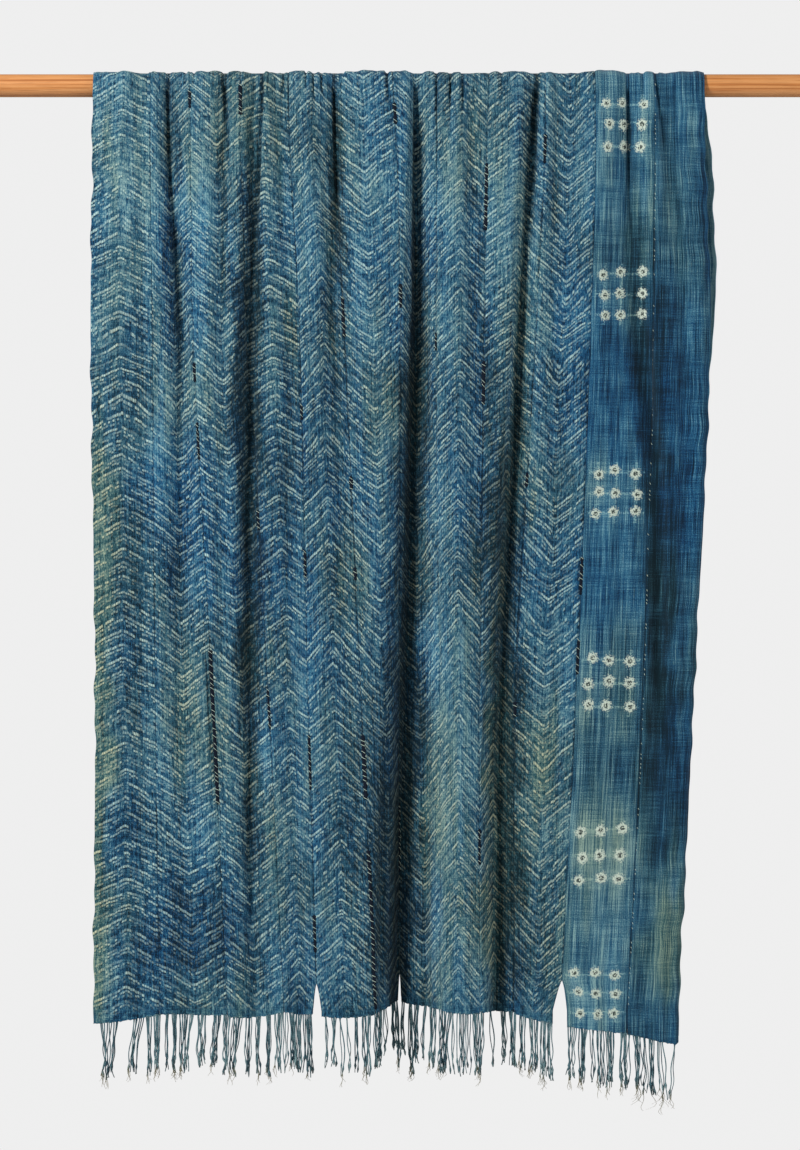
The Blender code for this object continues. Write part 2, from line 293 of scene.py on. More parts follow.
def hem_height(strip, share, front):
    """Height of the hem's lowest edge at a share of the strip's width."""
    if front:
        left, right, _ = FRONT_HEMS[strip]
        height = left + (right - left) * share - HEM_SAGS[strip] * np.sin(math.pi * share)
        height += HEM_RAGGED * (np.sin(41 * share + strip) + np.sin(87 * share + 3 * strip))
        if strip == STRIP_COUNT - 1:
            curl = (share - LAST_CORNER_START) / (1 - LAST_CORNER_START)
            height += LAST_CORNER * np.clip(curl, 0, 1) ** 2
        return height * MM
    return BACK_HEM + BACK_HEM_WAVE * np.sin(BACK_HEM_TURN_PER_STRIP * (strip + share))


WIDTH_SAMPLES = 61


def places_across(strip, run_left, run_right, shares):
    """x of each share of the strip's folded width, for rows given by their runs at both edges."""
    sample = np.linspace(0, 1, WIDTH_SAMPLES)
    left = seam_x(strip, run_left) + half_gap(strip, run_left)
    right = seam_x(strip + 1, run_right) - half_gap(strip + 1, run_right)
    places = left[:, None] + (right - left)[:, None] * sample
    runs = run_left[:, None] + (run_right - run_left)[:, None] * sample
    steps = np.hypot(np.diff(places), np.diff(stand_out(places, runs)))
    widths = np.concatenate((np.zeros((len(left), 1)), np.cumsum(steps, axis=1)), axis=1)
    rows = zip(widths, places)
    return np.array([np.interp(shares * width[-1], width, place) for width, place in rows])


print(f"seam 6 hangs at x = {seam_x(6, np.array([0.6]))[0]:.4f} m")

# %% [markdown]
# ## What the hand and the wear add to the drape
# Real cloth is never as smooth as its main folds. Small gathers start at the rod, soft vertical crinkles
# run down the warp, the stitched rows leave puckers, the seams sink in a little and the selvedges wander.
# Each of these is a small height along the cloth's normal. The gathers are given one by one; the crinkles
# come from soft seeded noise, which is enough for something so irregular.

# %% Soft noise on a lattice
# The lattice covers the whole flat cloth and a little more, in metres
LATTICE_MARGIN = 0.1
LATTICE_LENGTH = 2.2


def soft_noise(across, along, cell_across, cell_along, seed):
    """Smooth random values from -1 to 1, over cells of the given size."""
    u, v = across / cell_across, along / cell_along
    u, v = u - np.floor(u.min()), v - np.floor(v.min())
    table = np.random.default_rng(seed).uniform(-1, 1, (int(u.max()) + 3, int(v.max()) + 3))
    i, j = u.astype(int), v.astype(int)
    tu, tv = u - i, v - j
    tu, tv = tu * tu * (3 - 2 * tu), tv * tv * (3 - 2 * tv)
    near = table[i, j] * (1 - tu) + table[i + 1, j] * tu
    far = table[i, j + 1] * (1 - tu) + table[i + 1, j + 1] * tu
    return near * (1 - tv) + far * tv


def fixed_noise(across, along, cell_across, cell_along, seed):
    """Soft noise whose lattice is the same for every strip, so that it passes over the seams."""
    u = np.concatenate(((-LATTICE_MARGIN, STRIP_COUNT * STRIP_WIDTH + LATTICE_MARGIN), across.ravel()))
    v = np.concatenate(((-LATTICE_LENGTH, LATTICE_LENGTH), along.ravel()))
    return soft_noise(u, v, cell_across, cell_along, seed)[2:].reshape(across.shape)


def layered_noise(across, along, layers):
    """Sum of layers, each given by its cell across, cell along, strength and seed."""
    return sum(size * fixed_noise(across, along, wide, long, seed) for wide, long, size, seed in layers)


# Columns: cell across, cell along, height, seed
CRINKLES = (
    (26 * MM, 210 * MM, 1.2 * MM, 7),
    (12 * MM, 110 * MM, 0.9 * MM, 8),
    (6.5 * MM, 45 * MM, 0.5 * MM, 9),
)
print("crinkle at one point", layered_noise(np.array([0.3]), np.array([0.4]), CRINKLES).round(5))

# %% Gathers and creases
# Columns: x at its upper end, x at its lower end, z of both ends, depth, half width
GATHERS = (
    (-356, -355, 0, -40, 5, 4), (-326, -322, 0, -164, 6, 5), (-301, -300, 0, -6, 4, 3),
    (-290, -291, 0, -5, 3, 3), (-246, -239, 0, -108, 5, 6), (-194, -206, 0, -300, 8, 5),
    (-164, -166, 0, -24, 6, 4), (-132, -130, 0, -12, 4, 3), (-121, -119, 0, -31, 4, 4),
    (-110, -108, 0, -17, 5, 4), (-92, -86, 0, -220, 7, 5), (-80, -77, 0, -8, 3, 3),
    (-18, -14, 0, -40, 5, 4), (22, 20, 0, -340, 3, 5), (51, 52, 0, -94, 5, 4),
    (71, 69, 0, -66, 6, 4), (88, 88, 0, -45, 5, 4), (143, 143, 0, -12, 3, 3),
    (191, 183, 0, -206, 8, 6), (320, 324, 0, -206, 7, 5), (341, 342, 0, -38, 5, 5),
    (361, 370, 0, -94, 6, 4), (-325, -293, -60, -480, 3, 10), (-206, -216, -180, -900, 4, 16),
    (-212, -208, -900, -1200, 4, 10), (330, 366, -260, -620, 7, 18), (366, 362, -480, -960, 8, 18),
    (-28, -34, -960, -1290, 5, 22), (118, 120, -640, -1260, 4, 26), (240, 236, -300, -900, 2, 12),
)


# Angle past the top of the rod where the gathers have gone, and how they taper
GATHER_TURN = 1.2
GATHER_TAPER = 0.7


def gather_depth(x, run, gathers=GATHERS):
    """How deep the gathers and creases cut in. Gathers are full over the rod and gone at their lower ends,
    creases fade at both ends."""
    height, side = path(run)
    before_top = np.clip(1 - (side - math.pi / 2) / GATHER_TURN, 0, 1)
    total = np.zeros(x.shape)
    for top, low, start, end, depth, half_width in gathers:
        share = np.clip((start * MM - height) / ((start - end) * MM), 0, 1)
        place = (top + (low - top) * share) * MM
        across = np.clip(1 - np.abs(x - place) / (half_width * MM), 0, 1)
        level = (1 - share if start == 0 else np.sin(share * math.pi)) ** GATHER_TAPER
        total += depth * MM * across * across * (3 - 2 * across) * level * before_top
    return total


print(f"{len(GATHERS)} gathers and creases, up to {max(row[4] for row in GATHERS)} mm deep")

# %% [markdown]
# ## Where the stitched rows run
# Before dyeing, each strip was stitched in rows of chevrons. Strips with an apex have the rows falling away
# from the middle, the others have them rising. The phase counts the rows along the warp, and the finish
# will draw a dashed line and rows of dots at each whole number. The mesh uses the same phase for the
# puckers, so relief and colour stay together.

# %% Phase of the chevron rows
# Slope of each strip's rows, above 0 for an apex in the middle and below 0 for a valley
CHEVRONS = (0.48, -0.62, -0.70, 0.48, 0.76, -0.76, -0.74, 0.78, 0.72, -0.76)
ROW_PITCH = 19.3 * MM
APEX_ROUNDING = 1.2 * MM
# How far each strip's middle strays, how far its rows do, and the seeds of both. A strip adds its own
# number.
MIDDLE_WANDER = 3 * MM
MIDDLE_SEED = 20
PHASE_WANDER = 0.28
PHASE_SEED = 40
# A waver that all strips share, and the rise and fall of a row: share of the ridge, depth of the hollow
PHASE_WAVER = (0.022, 0.045, 0.10, 61)
RIDGE_SHARE = 0.3
TROUGH_DEPTH = 0.45


def row_starts():
    """Offset of each strip's count that lets its rows meet those of the strip on its left."""
    starts = [0.0]
    for left, right in zip(CHEVRONS, CHEVRONS[1:]):
        starts.append(starts[-1] + (right - left) * STRIP_WIDTH / 2 / ROW_PITCH)
    return starts


def row_phase(strip, across, run):
    """Number of the stitched row at each point, counted down from the top of the rod."""
    flat = strip * STRIP_WIDTH + across
    centre = STRIP_WIDTH / 2 + MIDDLE_WANDER * fixed_noise(0 * across, run, 1.0, 0.11, MIDDLE_SEED + strip)
    drop = np.hypot(across - centre, APEX_ROUNDING)
    stitched = strip < len(CHEVRONS)
    slope = CHEVRONS[strip] if stitched else 0
    start = row_starts()[strip] if stitched else 0
    phase = start + (run - slope * drop) / ROW_PITCH
    phase += PHASE_WANDER * fixed_noise(0 * across, run, 1.0, 0.05, PHASE_SEED + strip)
    return phase + layered_noise(flat, run, [PHASE_WAVER])


def pucker(phase):
    """Relief of the rows: a narrow ridge under each line and a wide hollow between the rows."""
    place = phase - np.floor(phase)
    ridge = np.sin(place / RIDGE_SHARE * math.pi)
    between = np.sin((place - RIDGE_SHARE) / (1 - RIDGE_SHARE) * math.pi)
    return np.where(place < RIDGE_SHARE, ridge, -TROUGH_DEPTH * between)


print(f"rows every {1000 * ROW_PITCH:.1f} mm on strips 1 to {len(CHEVRONS)}")

# %% Relief along the normal
# Height of the puckers, and how far from a seam they are full
PUCKER_HEIGHT = 0.42 * MM
PUCKER_EDGE = 4 * MM
# How deep the seams sink in, how wide, and the least room left to the rod
SEAM_SINK = 1.1 * MM
SEAM_REACH = 2.4 * MM
ROD_CLEARANCE = 0.8 * MM


def seams_beside(strip, across):
    """Distance to the seam or selvedge on each side of a strip, with its number."""
    return (across, strip), (STRIP_WIDTH - across, strip + 1)


def relief(strip, across, x, run):
    """Height of the crinkles, gathers, puckers and seams over the main folds."""
    flat = strip * STRIP_WIDTH + across
    height, _ = path(run)
    total = layered_noise(flat, run, CRINKLES)
    if strip < len(CHEVRONS):
        from_edge = np.clip(np.minimum(across, STRIP_WIDTH - across) / PUCKER_EDGE, 0, 1)
        total += PUCKER_HEIGHT * pucker(row_phase(strip, across, run)) * from_edge
    for edge, seam in seams_beside(strip, across):
        if 0 < seam < STRIP_COUNT:
            total -= SEAM_SINK * np.exp(-((edge / SEAM_REACH) ** 2))
    total -= gather_depth(x, run)
    behind_cloth = np.sqrt(np.clip(ROD_RADIUS ** 2 - height ** 2, 0, None))
    room = BEND_RADIUS - behind_cloth + stand_out(x, run) - ROD_CLEARANCE
    return np.where(height > -ROD_RADIUS, np.maximum(total, -room), total)


print(f"puckers {1000 * PUCKER_HEIGHT:.2f} mm, seams sink {1000 * SEAM_SINK:.1f} mm")

# %% [markdown]
# ## Zones of fade and painted shade
# Years of sun and wear leave cloth unevenly pale. Some places stay deep blue, others turn teal, greenish or
# tan. A painter would lay these in as broad soft strokes, so a short table of soft ellipses does it, with
# noise to break their edges. The same numbers also paint shade into the cloth: narrow dark ellipses follow
# the troughs of the folds, and the hollows, gathers and creases are darkened; the right edge of the back drop
# gets painted light. Each point of the mesh keeps two numbers: fade, and tint from blue to yellow.

# %% Fade and painted shade table
# The narrow dark zones along the troughs of the folds are painted shade; the narrow pale one at x 132 mm is
# painted light in a shaded trough
# Columns: x, z of the middle, half width, half height, all in mm, then fade and tint in hundredths
ZONES_OF_FADE_AND_SHADE = (
    (-424, -980, 16, 420, 24, 110), (-395, -60, 60, 90, 15, 2), (-400, -260, 40, 120, 4, 10),
    (-400, -1160, 50, 60, 2, 45), (-380, -1000, 40, 60, -8, 0), (-330, -560, 60, 60, 2, -40),
    (-310, -130, 60, 120, 16, -6), (-322, -190, 10, 170, -30, -30), (-250, -100, 9, 90, -25, 5),
    (-84, -170, 9, 130, -26, 5), (104, -190, 10, 150, -26, 5), (-310, -470, 45, 70, 10, -10),
    (-310, -870, 70, 110, 4, 28), (-270, -1190, 100, 60, -16, -22), (-216, -400, 22, 230, -46, 2),
    (-212, -800, 15, 240, -31, 6), (-200, -60, 60, 90, 6, 14), (-145, -560, 50, 90, -16, -30),
    (-190, -980, 70, 110, 8, 12), (-140, -1220, 50, 70, 12, -45), (-50, -110, 40, 90, 13, 15),
    (-60, -260, 40, 100, 6, 2), (-25, -330, 26, 60, -4, 30), (-16, -1100, 38, 190, -55, 15),
    (15, -540, 21, 210, -36, 18), (5, -860, 22, 140, -30, 20), (62, -980, 36, 240, 20, 26),
    (70, -720, 26, 90, -10, 0), (90, -140, 50, 130, 18, 5), (74, -340, 30, 70, 6, 2),
    (134, -620, 24, 260, -37, 24), (132, -1000, 9, 300, 20, 60), (150, -1020, 26, 290, -36, 50),
    (160, -240, 50, 90, 14, 0), (200, -930, 30, 120, 10, 42), (215, -420, 50, 130, -4, -17),
    (300, -430, 40, 100, -22, -60), (300, -680, 40, 80, -4, -60), (295, -860, 45, 60, -6, 30),
    (280, -1070, 45, 90, 10, 26), (280, -1230, 50, 70, 7, 10), (334, -190, 10, 140, -8, 10),
    (352, -430, 20, 170, -42, 16), (366, -760, 21, 220, -46, 30), (396, -130, 36, 150, 2, 15),
    (-98, -790, 40, 60, -4, -30), (-308, -650, 40, 60, -4, -30), (224, -234, 30, 60, -3, -30),
    (-100, -310, 40, 60, -8, -30), (290, -180, 34, 70, 0, -50), (-402, -600, 30, 150, -8, 40),
    (-60, -720, 70, 110, 0, 12), (404, -450, 34, 150, -10, -60), (400, -640, 30, 120, 0, -50),
    (385, -1010, 30, 60, -10, -10), (380, -1200, 40, 90, 4, 95),
)
BASE_FADE = 0.41
BASE_TINT = 0.10
DOTTED_STRIP_FADE = 0.12
ZONE_STRENGTH = 1.25
# Columns: cell across, cell along, strength, seed. The last two move the edges of the zones.
FADE_NOISE = ((0.06, 0.09, 0.12, 81), (0.018, 0.05, 0.07, 82))
TINT_NOISE = ((0.09, 0.12, 0.32, 83), (0.012, 0.09, 0.22, 87))
EDGE_NOISE_X = ((0.03, 0.04, 0.012, 84),)
EDGE_NOISE_Z = ((0.02, 0.05, 0.03, 85),)
# Painted shade in the hollows of the folds, and a little painted light on the crests: how far to the side the
# cloth is compared, painted darkening and tint for each mm of depth
HOLLOW_REACH = 22 * MM
HOLLOW_PAINTED_SHADE = 0.014
HOLLOW_SHADE_TINT = 0.02
HOLLOW_LIMITS = (-3, 14)
# Painted shade for each mm of depth of the gathers that start at the rod
GATHER_PAINTED_SHADE = 0.055
TOP_GATHERS = [row for row in GATHERS if row[2] == 0]
# How dark each seam's line is, from the left selvedge to the right one
SEAM_DARKNESS = (0.0, 0.35, 0.20, 0.35, 0.55, 0.55, 0.35, 0.20, 0.25, 0.55, 0.50, 0.90, 0.0)
# Painted shade along creases. Columns: strip, distance across it, height where the crease starts and ends,
# half width, painted darkening, and the tint beyond it
CREASE_SHADES_AND_TINTS = (
    (0, 12, -690, -1310, 1.6, 0.40, 0.5),
    (1, 85, -792, -965, 1.5, 0.80, 0.0),
    (11, 78, -900, -1060, 1.8, 0.45, -0.1),
    (11, 84, -20, -300, 1.6, 0.40, -0.2),
)
CREASE_ENDS = 0.03
SEAM_LINE = 1.6 * MM
# The seams' lines are uneven: their usual strength, and noise in the columns of FADE_NOISE
LINE_STRENGTH = 0.7
LINE_NOISE = ((1.0, 0.03, 0.6, 86),)
# Painted light: the right edge of the back drop, in the shade of the front drop, is made pale and blue, from
# this angle round the rod on
BACK_EDGE_PAINTED_LIGHT = 1.6
BACK_EDGE_WIDTH = 16 * MM
BACK_EDGE_START = 2.0
print(f"{len(ZONES_OF_FADE_AND_SHADE)} zones over a base fade of {BASE_FADE}")


# %% Fade and tint at each point
def hollow(x, run):
    """How far each point lies behind the cloth on both sides of it, in mm."""
    beside = (stand_out(x - HOLLOW_REACH, run) + stand_out(x + HOLLOW_REACH, run)) / 2
    return (beside - stand_out(x, run)) / MM


def crease_painted_shade(strip, across, height):
    """Painted shade along the creases of a strip: what they add to its fade and tint."""
    fade, tint = np.zeros(height.shape), np.zeros(height.shape)
    for owner, place, top, end, half_width, darkening, tint_beyond in CREASE_SHADES_AND_TINTS:
        if owner == strip:
            below_top = np.clip((top * MM - height) / CREASE_ENDS, 0, 1)
            level = below_top * np.clip((height - end * MM) / CREASE_ENDS, 0, 1)
            fade -= darkening * level * np.exp(-(((across - place * MM) / (half_width * MM)) ** 2))
            beyond = across < place * MM if place * MM < STRIP_WIDTH / 2 else across > place * MM
            tint += tint_beyond * level * beyond
    return fade, tint


def fade_with_painted_shade_and_light(strip, across, x, run):
    """Fade and tint at each point, with painted shade in the hollows, gathers, creases and troughs of the
    folds and painted light on the right edge of the back drop.
    """
    height, side = path(run)
    flat = strip * STRIP_WIDTH + across
    sunk = hollow(x, run)
    # Painted shade along the creases, with the tint beyond them
    fade, tint = crease_painted_shade(strip, across, height)
    fade += BASE_FADE + layered_noise(flat, run, FADE_NOISE)
    tint += BASE_TINT + layered_noise(flat, run, TINT_NOISE)
    ragged_x = x + layered_noise(flat, run, EDGE_NOISE_X)
    ragged_z = height + layered_noise(flat, run, EDGE_NOISE_Z)
    # Soft ellipses: the cloth's fade and tint, and painted shade along the troughs of the folds
    for middle_x, middle_z, half_width, half_height, more_fade, more_tint in ZONES_OF_FADE_AND_SHADE:
        far = ((ragged_x - middle_x * MM) / (half_width * MM)) ** 2
        far += ((ragged_z - middle_z * MM) / (half_height * MM)) ** 2
        weight = np.exp(-far) * (side < math.pi)
        fade += more_fade / 100 * weight * ZONE_STRENGTH
        tint += more_tint / 100 * weight
    if strip == len(CHEVRONS):
        fade += DOTTED_STRIP_FADE
    # Painted shade in the hollows of the folds, and a little painted light on the crests
    fade -= HOLLOW_PAINTED_SHADE * np.clip(sunk, *HOLLOW_LIMITS)
    # Painted shade in the gathers that start at the rod
    fade -= GATHER_PAINTED_SHADE * gather_depth(x, run, TOP_GATHERS) / MM
    # Painted shade: a greener tint in the hollows of the folds
    tint += HOLLOW_SHADE_TINT * np.clip(sunk, 0, HOLLOW_LIMITS[1])
    # Painted light: the right edge of the back drop is made paler and bluer
    if strip == STRIP_COUNT - 1:
        at_edge = np.clip(1 - (STRIP_WIDTH - across) / BACK_EDGE_WIDTH, 0, 1) * (side > BACK_EDGE_START)
        fade += BACK_EDGE_PAINTED_LIGHT * at_edge
        tint -= np.minimum(2 * at_edge, 1)
    for edge, seam in seams_beside(strip, across):
        uneven = LINE_STRENGTH + layered_noise(0 * across + seam, run, LINE_NOISE)
        fade -= SEAM_DARKNESS[seam] * uneven * np.clip(1 - edge / SEAM_LINE, 0, 1)
    return np.clip(fade, 0, 1), np.clip(tint, -1, 1)


point = fade_with_painted_shade_and_light(0, *np.array([[0.05], [-0.38], [0.5]]))
print("fade and tint at one point of strip 1", [value.round(2).tolist() for value in point])

# %% [markdown]
# ## A finish, node by node
# The finishes are node trees. Written out in full they are hard to read, so this helper adds the nodes.
# Each output of a node is a value that can be added, multiplied or stepped, and every such sum is one more
# node.


# %% Colours and values
def srgb(red, green, blue):
    """Linear colour of a screen colour from 0 to 255."""
    shares = [value / 255 for value in (red, green, blue)]
    return [s / 12.92 if s <= 0.04045 else ((s + 0.055) / 1.055) ** 2.4 for s in shares] + [1.0]


class Value:
    """An output of a node in a finish. It can be added, multiplied and compared like a number."""

    def __init__(self, finish, socket):
        self.finish = finish
        self.socket = socket

    def math(self, operation, *others):
        return self.finish.math(operation, self, *others)

    __add__ = partialmethod(math, "ADD")
    __sub__ = partialmethod(math, "SUBTRACT")
    __mul__ = partialmethod(math, "MULTIPLY")
    scaled = partialmethod(math, "MULTIPLY_ADD")
    most = partialmethod(math, "MAXIMUM")
    whole = partialmethod(math, "FLOOR")
    part = partialmethod(math, "FRACT")

    def __rsub__(self, other):
        return self.finish.math("SUBTRACT", other, self)

    def __truediv__(self, size):
        return self * (1 / size)

    def step(self, low, high):
        """0 below low and 1 above high, with a soft change between the two."""
        inputs = {"Value": self, "From Min": low, "From Max": high}
        return self.finish.node("ShaderNodeMapRange", inputs, interpolation_type="SMOOTHSTEP")

    def near(self, place, half, soft):
        """1 within half of the place, falling softly to 0."""
        away = (self - place).math("ABSOLUTE")
        return 1.0 - away.step(half, half + soft)


print("a deep indigo in linear light", [round(value, 3) for value in srgb(25, 70, 110)])


# %% Helper for node trees
class Finish:
    """A material being put together. Each method adds a node and gives its output."""

    def __init__(self, name, roughness, sheen=0.0, gloss=0.15):
        self.material = bpy.data.materials.new(name)
        self.material.use_nodes = True
        self.tree = self.material.node_tree
        self.shader = self.tree.nodes["Principled BSDF"]
        self.feed(self.shader, {"Roughness": roughness, "Sheen Weight": sheen, "Specular IOR Level": gloss})

    def feed(self, node, inputs):
        for name, value in inputs.items():
            if isinstance(value, Value):
                self.tree.links.new(value.socket, node.inputs[name])
            else:
                node.inputs[name].default_value = value

    def node(self, kind, inputs, output=0, **settings):
        made = self.tree.nodes.new(kind)
        for setting, value in settings.items():
            setattr(made, setting, value)
        self.feed(made, inputs)
        return Value(self, made.outputs[output])

    def math(self, operation, *values):
        return self.node("ShaderNodeMath", dict(enumerate(values)), operation=operation)

    def split(self, vector):
        parts = self.node("ShaderNodeSeparateXYZ", {0: vector}).socket.node.outputs
        return [Value(self, part) for part in parts]

    def join(self, x, y, z=0.0):
        return self.node("ShaderNodeCombineXYZ", {0: x, 1: y, 2: z})

    def uv(self, name):
        return self.split(self.node("ShaderNodeUVMap", {}, uv_map=name))[:2]

    def place(self):
        return self.split(self.node("ShaderNodeTexCoord", {}, "Object"))

    def attribute(self, name):
        return self.node("ShaderNodeAttribute", {}, "Fac", attribute_name=name)

    def noise(self, x, y, detail=1.0):
        inputs = {"Vector": self.join(x, y), "Scale": 1.0, "Detail": detail}
        return self.node("ShaderNodeTexNoise", inputs, noise_dimensions="2D")

    def solid_noise(self, x, y, z, detail=2.0):
        return self.node("ShaderNodeTexNoise", {"Vector": self.join(x, y, z), "Scale": 1.0, "Detail": detail})

    def chances(self, x, y):
        """Three random numbers for each whole x and y."""
        inputs = {"Vector": self.join(x, y)}
        return self.split(self.node("ShaderNodeTexWhiteNoise", inputs, "Color", noise_dimensions="2D"))

    def ramp(self, value, stops):
        made = self.node("ShaderNodeValToRGB", {0: value})
        elements = made.socket.node.color_ramp.elements
        elements[0].position, elements[0].color = stops[0]
        elements[1].position, elements[1].color = stops[-1]
        for position, colour in stops[1:-1]:
            elements.new(position).color = colour
        return made

    def mix(self, share, first, second):
        return self.node("ShaderNodeMix", {0: share, 6: first, 7: second}, 2, data_type="RGBA")

    def colour(self, value):
        self.feed(self.shader, {"Base Color": value})

    def bump(self, height, distance):
        bump = self.node("ShaderNodeBump", {"Height": height, "Distance": distance})
        self.feed(self.shader, {"Normal": bump})


print("a finish can add", [method for method in vars(Finish) if not method.startswith("_")])

# %% [markdown]
# ## The dyed ground
# Indigo sits on the outside of the yarn and wears off first where the yarn stands proud. So the ground is
# not one blue: fine streaks follow the warp, thicker weft yarns show as short cross lines, and the fade
# numbers of the mesh move all of it from deep to pale. The ramp is read off the cloth.

# %% Ground of the dyed cloth
DEEP_INDIGO = srgb(5, 31, 48)
INDIGO = srgb(14, 62, 103)
MID_BLUE = srgb(31, 91, 127)
TEAL = srgb(70, 128, 154)
PALE_BLUE = srgb(130, 174, 184)
BLUES = ((0.0, DEEP_INDIGO), (0.28, INDIGO), (0.5, MID_BLUE), (0.76, TEAL), (1.0, PALE_BLUE))
DEEP_GREEN = srgb(9, 36, 40)
GREEN_GREY = srgb(54, 94, 90)
PALE_STRAW = srgb(146, 160, 130)
STRAWS = ((0.0, DEEP_GREEN), (0.5, GREEN_GREY), (1.0, PALE_STRAW))
# Tint where the colour starts to turn and where it has turned most, and how far it then goes to straw
TURNING = (-0.45, 1.0)
TURNED = 0.8
# Columns: cell across the strip and along it in mm, how much it moves the tone, how much it stands proud
STREAKS = (
    (1.1, 6, 1.1, 1.0),
    (3.0, 50, 0.8, 0.5),
    (0.9, 1.4, 0.9, 0.8),
    (24, 1.4, 0.5, 0.4),
)


def dyed_ground(finish, streaks=STREAKS):
    """Tone from 0, deep, to 1, pale; and the height of streaks, slubs and grain."""
    across, run = finish.uv("weave")
    # The fade attribute holds the dye's fade and also the painted shade of the folds and the painted light of
    # the back drop's edge
    tone = finish.attribute("fade")
    height = 0.0
    for cell_across, cell_along, strength, proud in streaks:
        streak = finish.noise(across / (cell_across * MM), run / (cell_along * MM))
        tone = tone + streak.scaled(strength, -strength / 2)
        height = streak.scaled(proud, height)
    return tone, height


def indigo_colour(finish, tone):
    """Blue of that tone, turned towards green-grey where the tint says so."""
    turned = finish.attribute("tint").step(*TURNING) * TURNED
    return finish.mix(turned, finish.ramp(tone, BLUES), finish.ramp(tone, STRAWS))


# %% [markdown]
# ## The stitched rows
# Each row is a thin bright line where the fold of the stitching kept the dye out, and under it two rows of
# small pale dots, one for each stitch. Some rows took the dye better than others, so every row draws its
# own luck. The line lies a little proud and the cloth under it is in shade.

# %% Chevron finish
UNDYED = srgb(186, 218, 214)
CREAM = srgb(204, 208, 174)
COLUMN = 3.4 * MM
# A column's full width and its soft edge, as shares
COLUMN_WIDTH = (0.24, 0.26)
# Columns: place in the row, half height and soft edge as shares of the row, strength, how often a column
# is missed, how far it strays, how bare it is between columns
MARKS = (
    (0.14, 0.050, 0.075, 0.95, 0.08, 0.08, 0.65),
    (0.43, 0.044, 0.060, 0.80, 0.34, 0.09, 0.85),
    (0.69, 0.042, 0.060, 0.50, 0.52, 0.12, 0.85),
)
# Patches where the marks are weak, and the dashes of the first line: length, rows apart, edges
PATCHES = (40 * MM, 1.7, 0.36, 0.56)
PATCH_STRENGTH = 0.75
# How softly a mark is missed, how much its strength is left to luck, and how much it dims where the fade is
# low, in deep dye and in painted shade alike, with the fades between which it appears; then the tints
# between which bare thread turns from white to cream
MISS_EDGE = 0.1
LUCK = 0.5
MARK_DIMMING_IN_DYE_AND_SHADE = 0.7
DYE_FADES = (0.0, 0.4)
CREAM_TINTS = (-0.1, 0.9)
DASHES = (10 * MM, 2.3, 0.30, 0.42)
# Shade under each mark and the pale band round the dots
SHADE_BELOW = 0.095
SHADE = 0.34
BAND = (0.42, 0.20, 0.25)
BAND_TONE = (0.16, -0.09)
MARK_RISE = 1.4
BUMP = 0.5 * MM


def chevron_finish():
    finish = Finish("stitched_indigo", 0.92, 0.06)
    tone, ground_height = dyed_ground(finish)
    across, phase = finish.uv("rows")
    row, place = phase.whole(), phase.part()
    columns = across / COLUMN
    in_column = columns.part().near(0.5, *COLUMN_WIDTH)
    marks = shades = 0.0
    for number, (line, half, soft, strength, missed, stray, bare) in enumerate(MARKS):
        own_row = row.scaled(3.0, number + 0.5)
        first, second, third = finish.chances(columns.whole(), own_row)
        moved = first.scaled(stray, place)
        mark = moved.near(line + stray / 2, half, soft)
        shade = moved.near(line + stray / 2 + SHADE_BELOW, half, soft)
        present = second.step(missed - MISS_EDGE, missed + MISS_EDGE) * in_column.scaled(bare, 1 - bare)
        length, apart, low, high = PATCHES
        patch = finish.noise(across / length, own_row * apart).step(low, high)
        present = present * third.scaled(LUCK, 1 - LUCK)
        present = present * patch.scaled(PATCH_STRENGTH, 1 - PATCH_STRENGTH)
        if number == 0:
            length, apart, low, high = DASHES
            present = present * finish.noise(across / length, own_row * apart, 0.0).step(low, high)
        present = present * strength
        marks = (mark * present).most(marks)
        shades = (shade * present).most(shades)
    rows_strength = finish.attribute("rows_strength")
    # Painted shade: the marks dim where the fade is low, in deep dye and in the painted shade of the troughs
    # alike
    mark_share_in_dye_and_shade = finish.attribute("fade").step(*DYE_FADES).scaled(MARK_DIMMING_IN_DYE_AND_SHADE, 1 - MARK_DIMMING_IN_DYE_AND_SHADE)
    marks = marks * mark_share_in_dye_and_shade * rows_strength
    tone = tone + place.near(*BAND).scaled(*BAND_TONE)
    tone = (shades * rows_strength).scaled(-SHADE, tone)
    thread = finish.mix(finish.attribute("tint").step(*CREAM_TINTS), UNDYED, CREAM)
    finish.colour(finish.mix(marks, indigo_colour(finish, tone), thread))
    finish.bump(marks.scaled(MARK_RISE, ground_height), BUMP)
    return finish.material


STITCHED = chevron_finish()
print("finish", STITCHED.name)

# %% [markdown]
# ## The tied dots and the plain strip
# Strip 11 was tied, not stitched. Nine dots to a group, each a small star of bare cotton where the thread
# was wound, with dark specks where dye ran in at the tie. The UV map counts the dots, three across and
# three down, so the finish draws one star in each cell. Strip 12 has no pattern but its uneven dyeing: long
# streaks follow the warp, and thick weft yarns took less dye and show as faint cross lines.

# %% Sizes and places of the dots
# Columns as for STREAKS
PLAIN_STREAKS = (
    (1.0, 60, 1.2, 0.7),
    (3.6, 150, 0.6, 0.4),
    (0.9, 1.2, 1.1, 0.8),
    (46, 1.2, 0.5, 0.6),
    (60, 18, 0.3, 0.1),
)
BARE_COTTON = srgb(212, 224, 208)
# Size of the cell that one dot is tied in, its radius, and how far it strays as a share of the cell
DOT_CELL = (27 * MM, 30 * MM)
DOT_RADIUS = 6.8 * MM
DOT_STRAY = 0.24
DOT_EDGE = (-1.6 * MM, 1.8 * MM)
# Middle, half size and edge of the square of nine, counted in dots
DOT_SQUARE = (1.5, 1.5, 0.02)
# How much of the dye is kept out of a dot, and how far the dot stands proud
DOT_STRENGTH = 0.92
DOT_RISE = 0.8
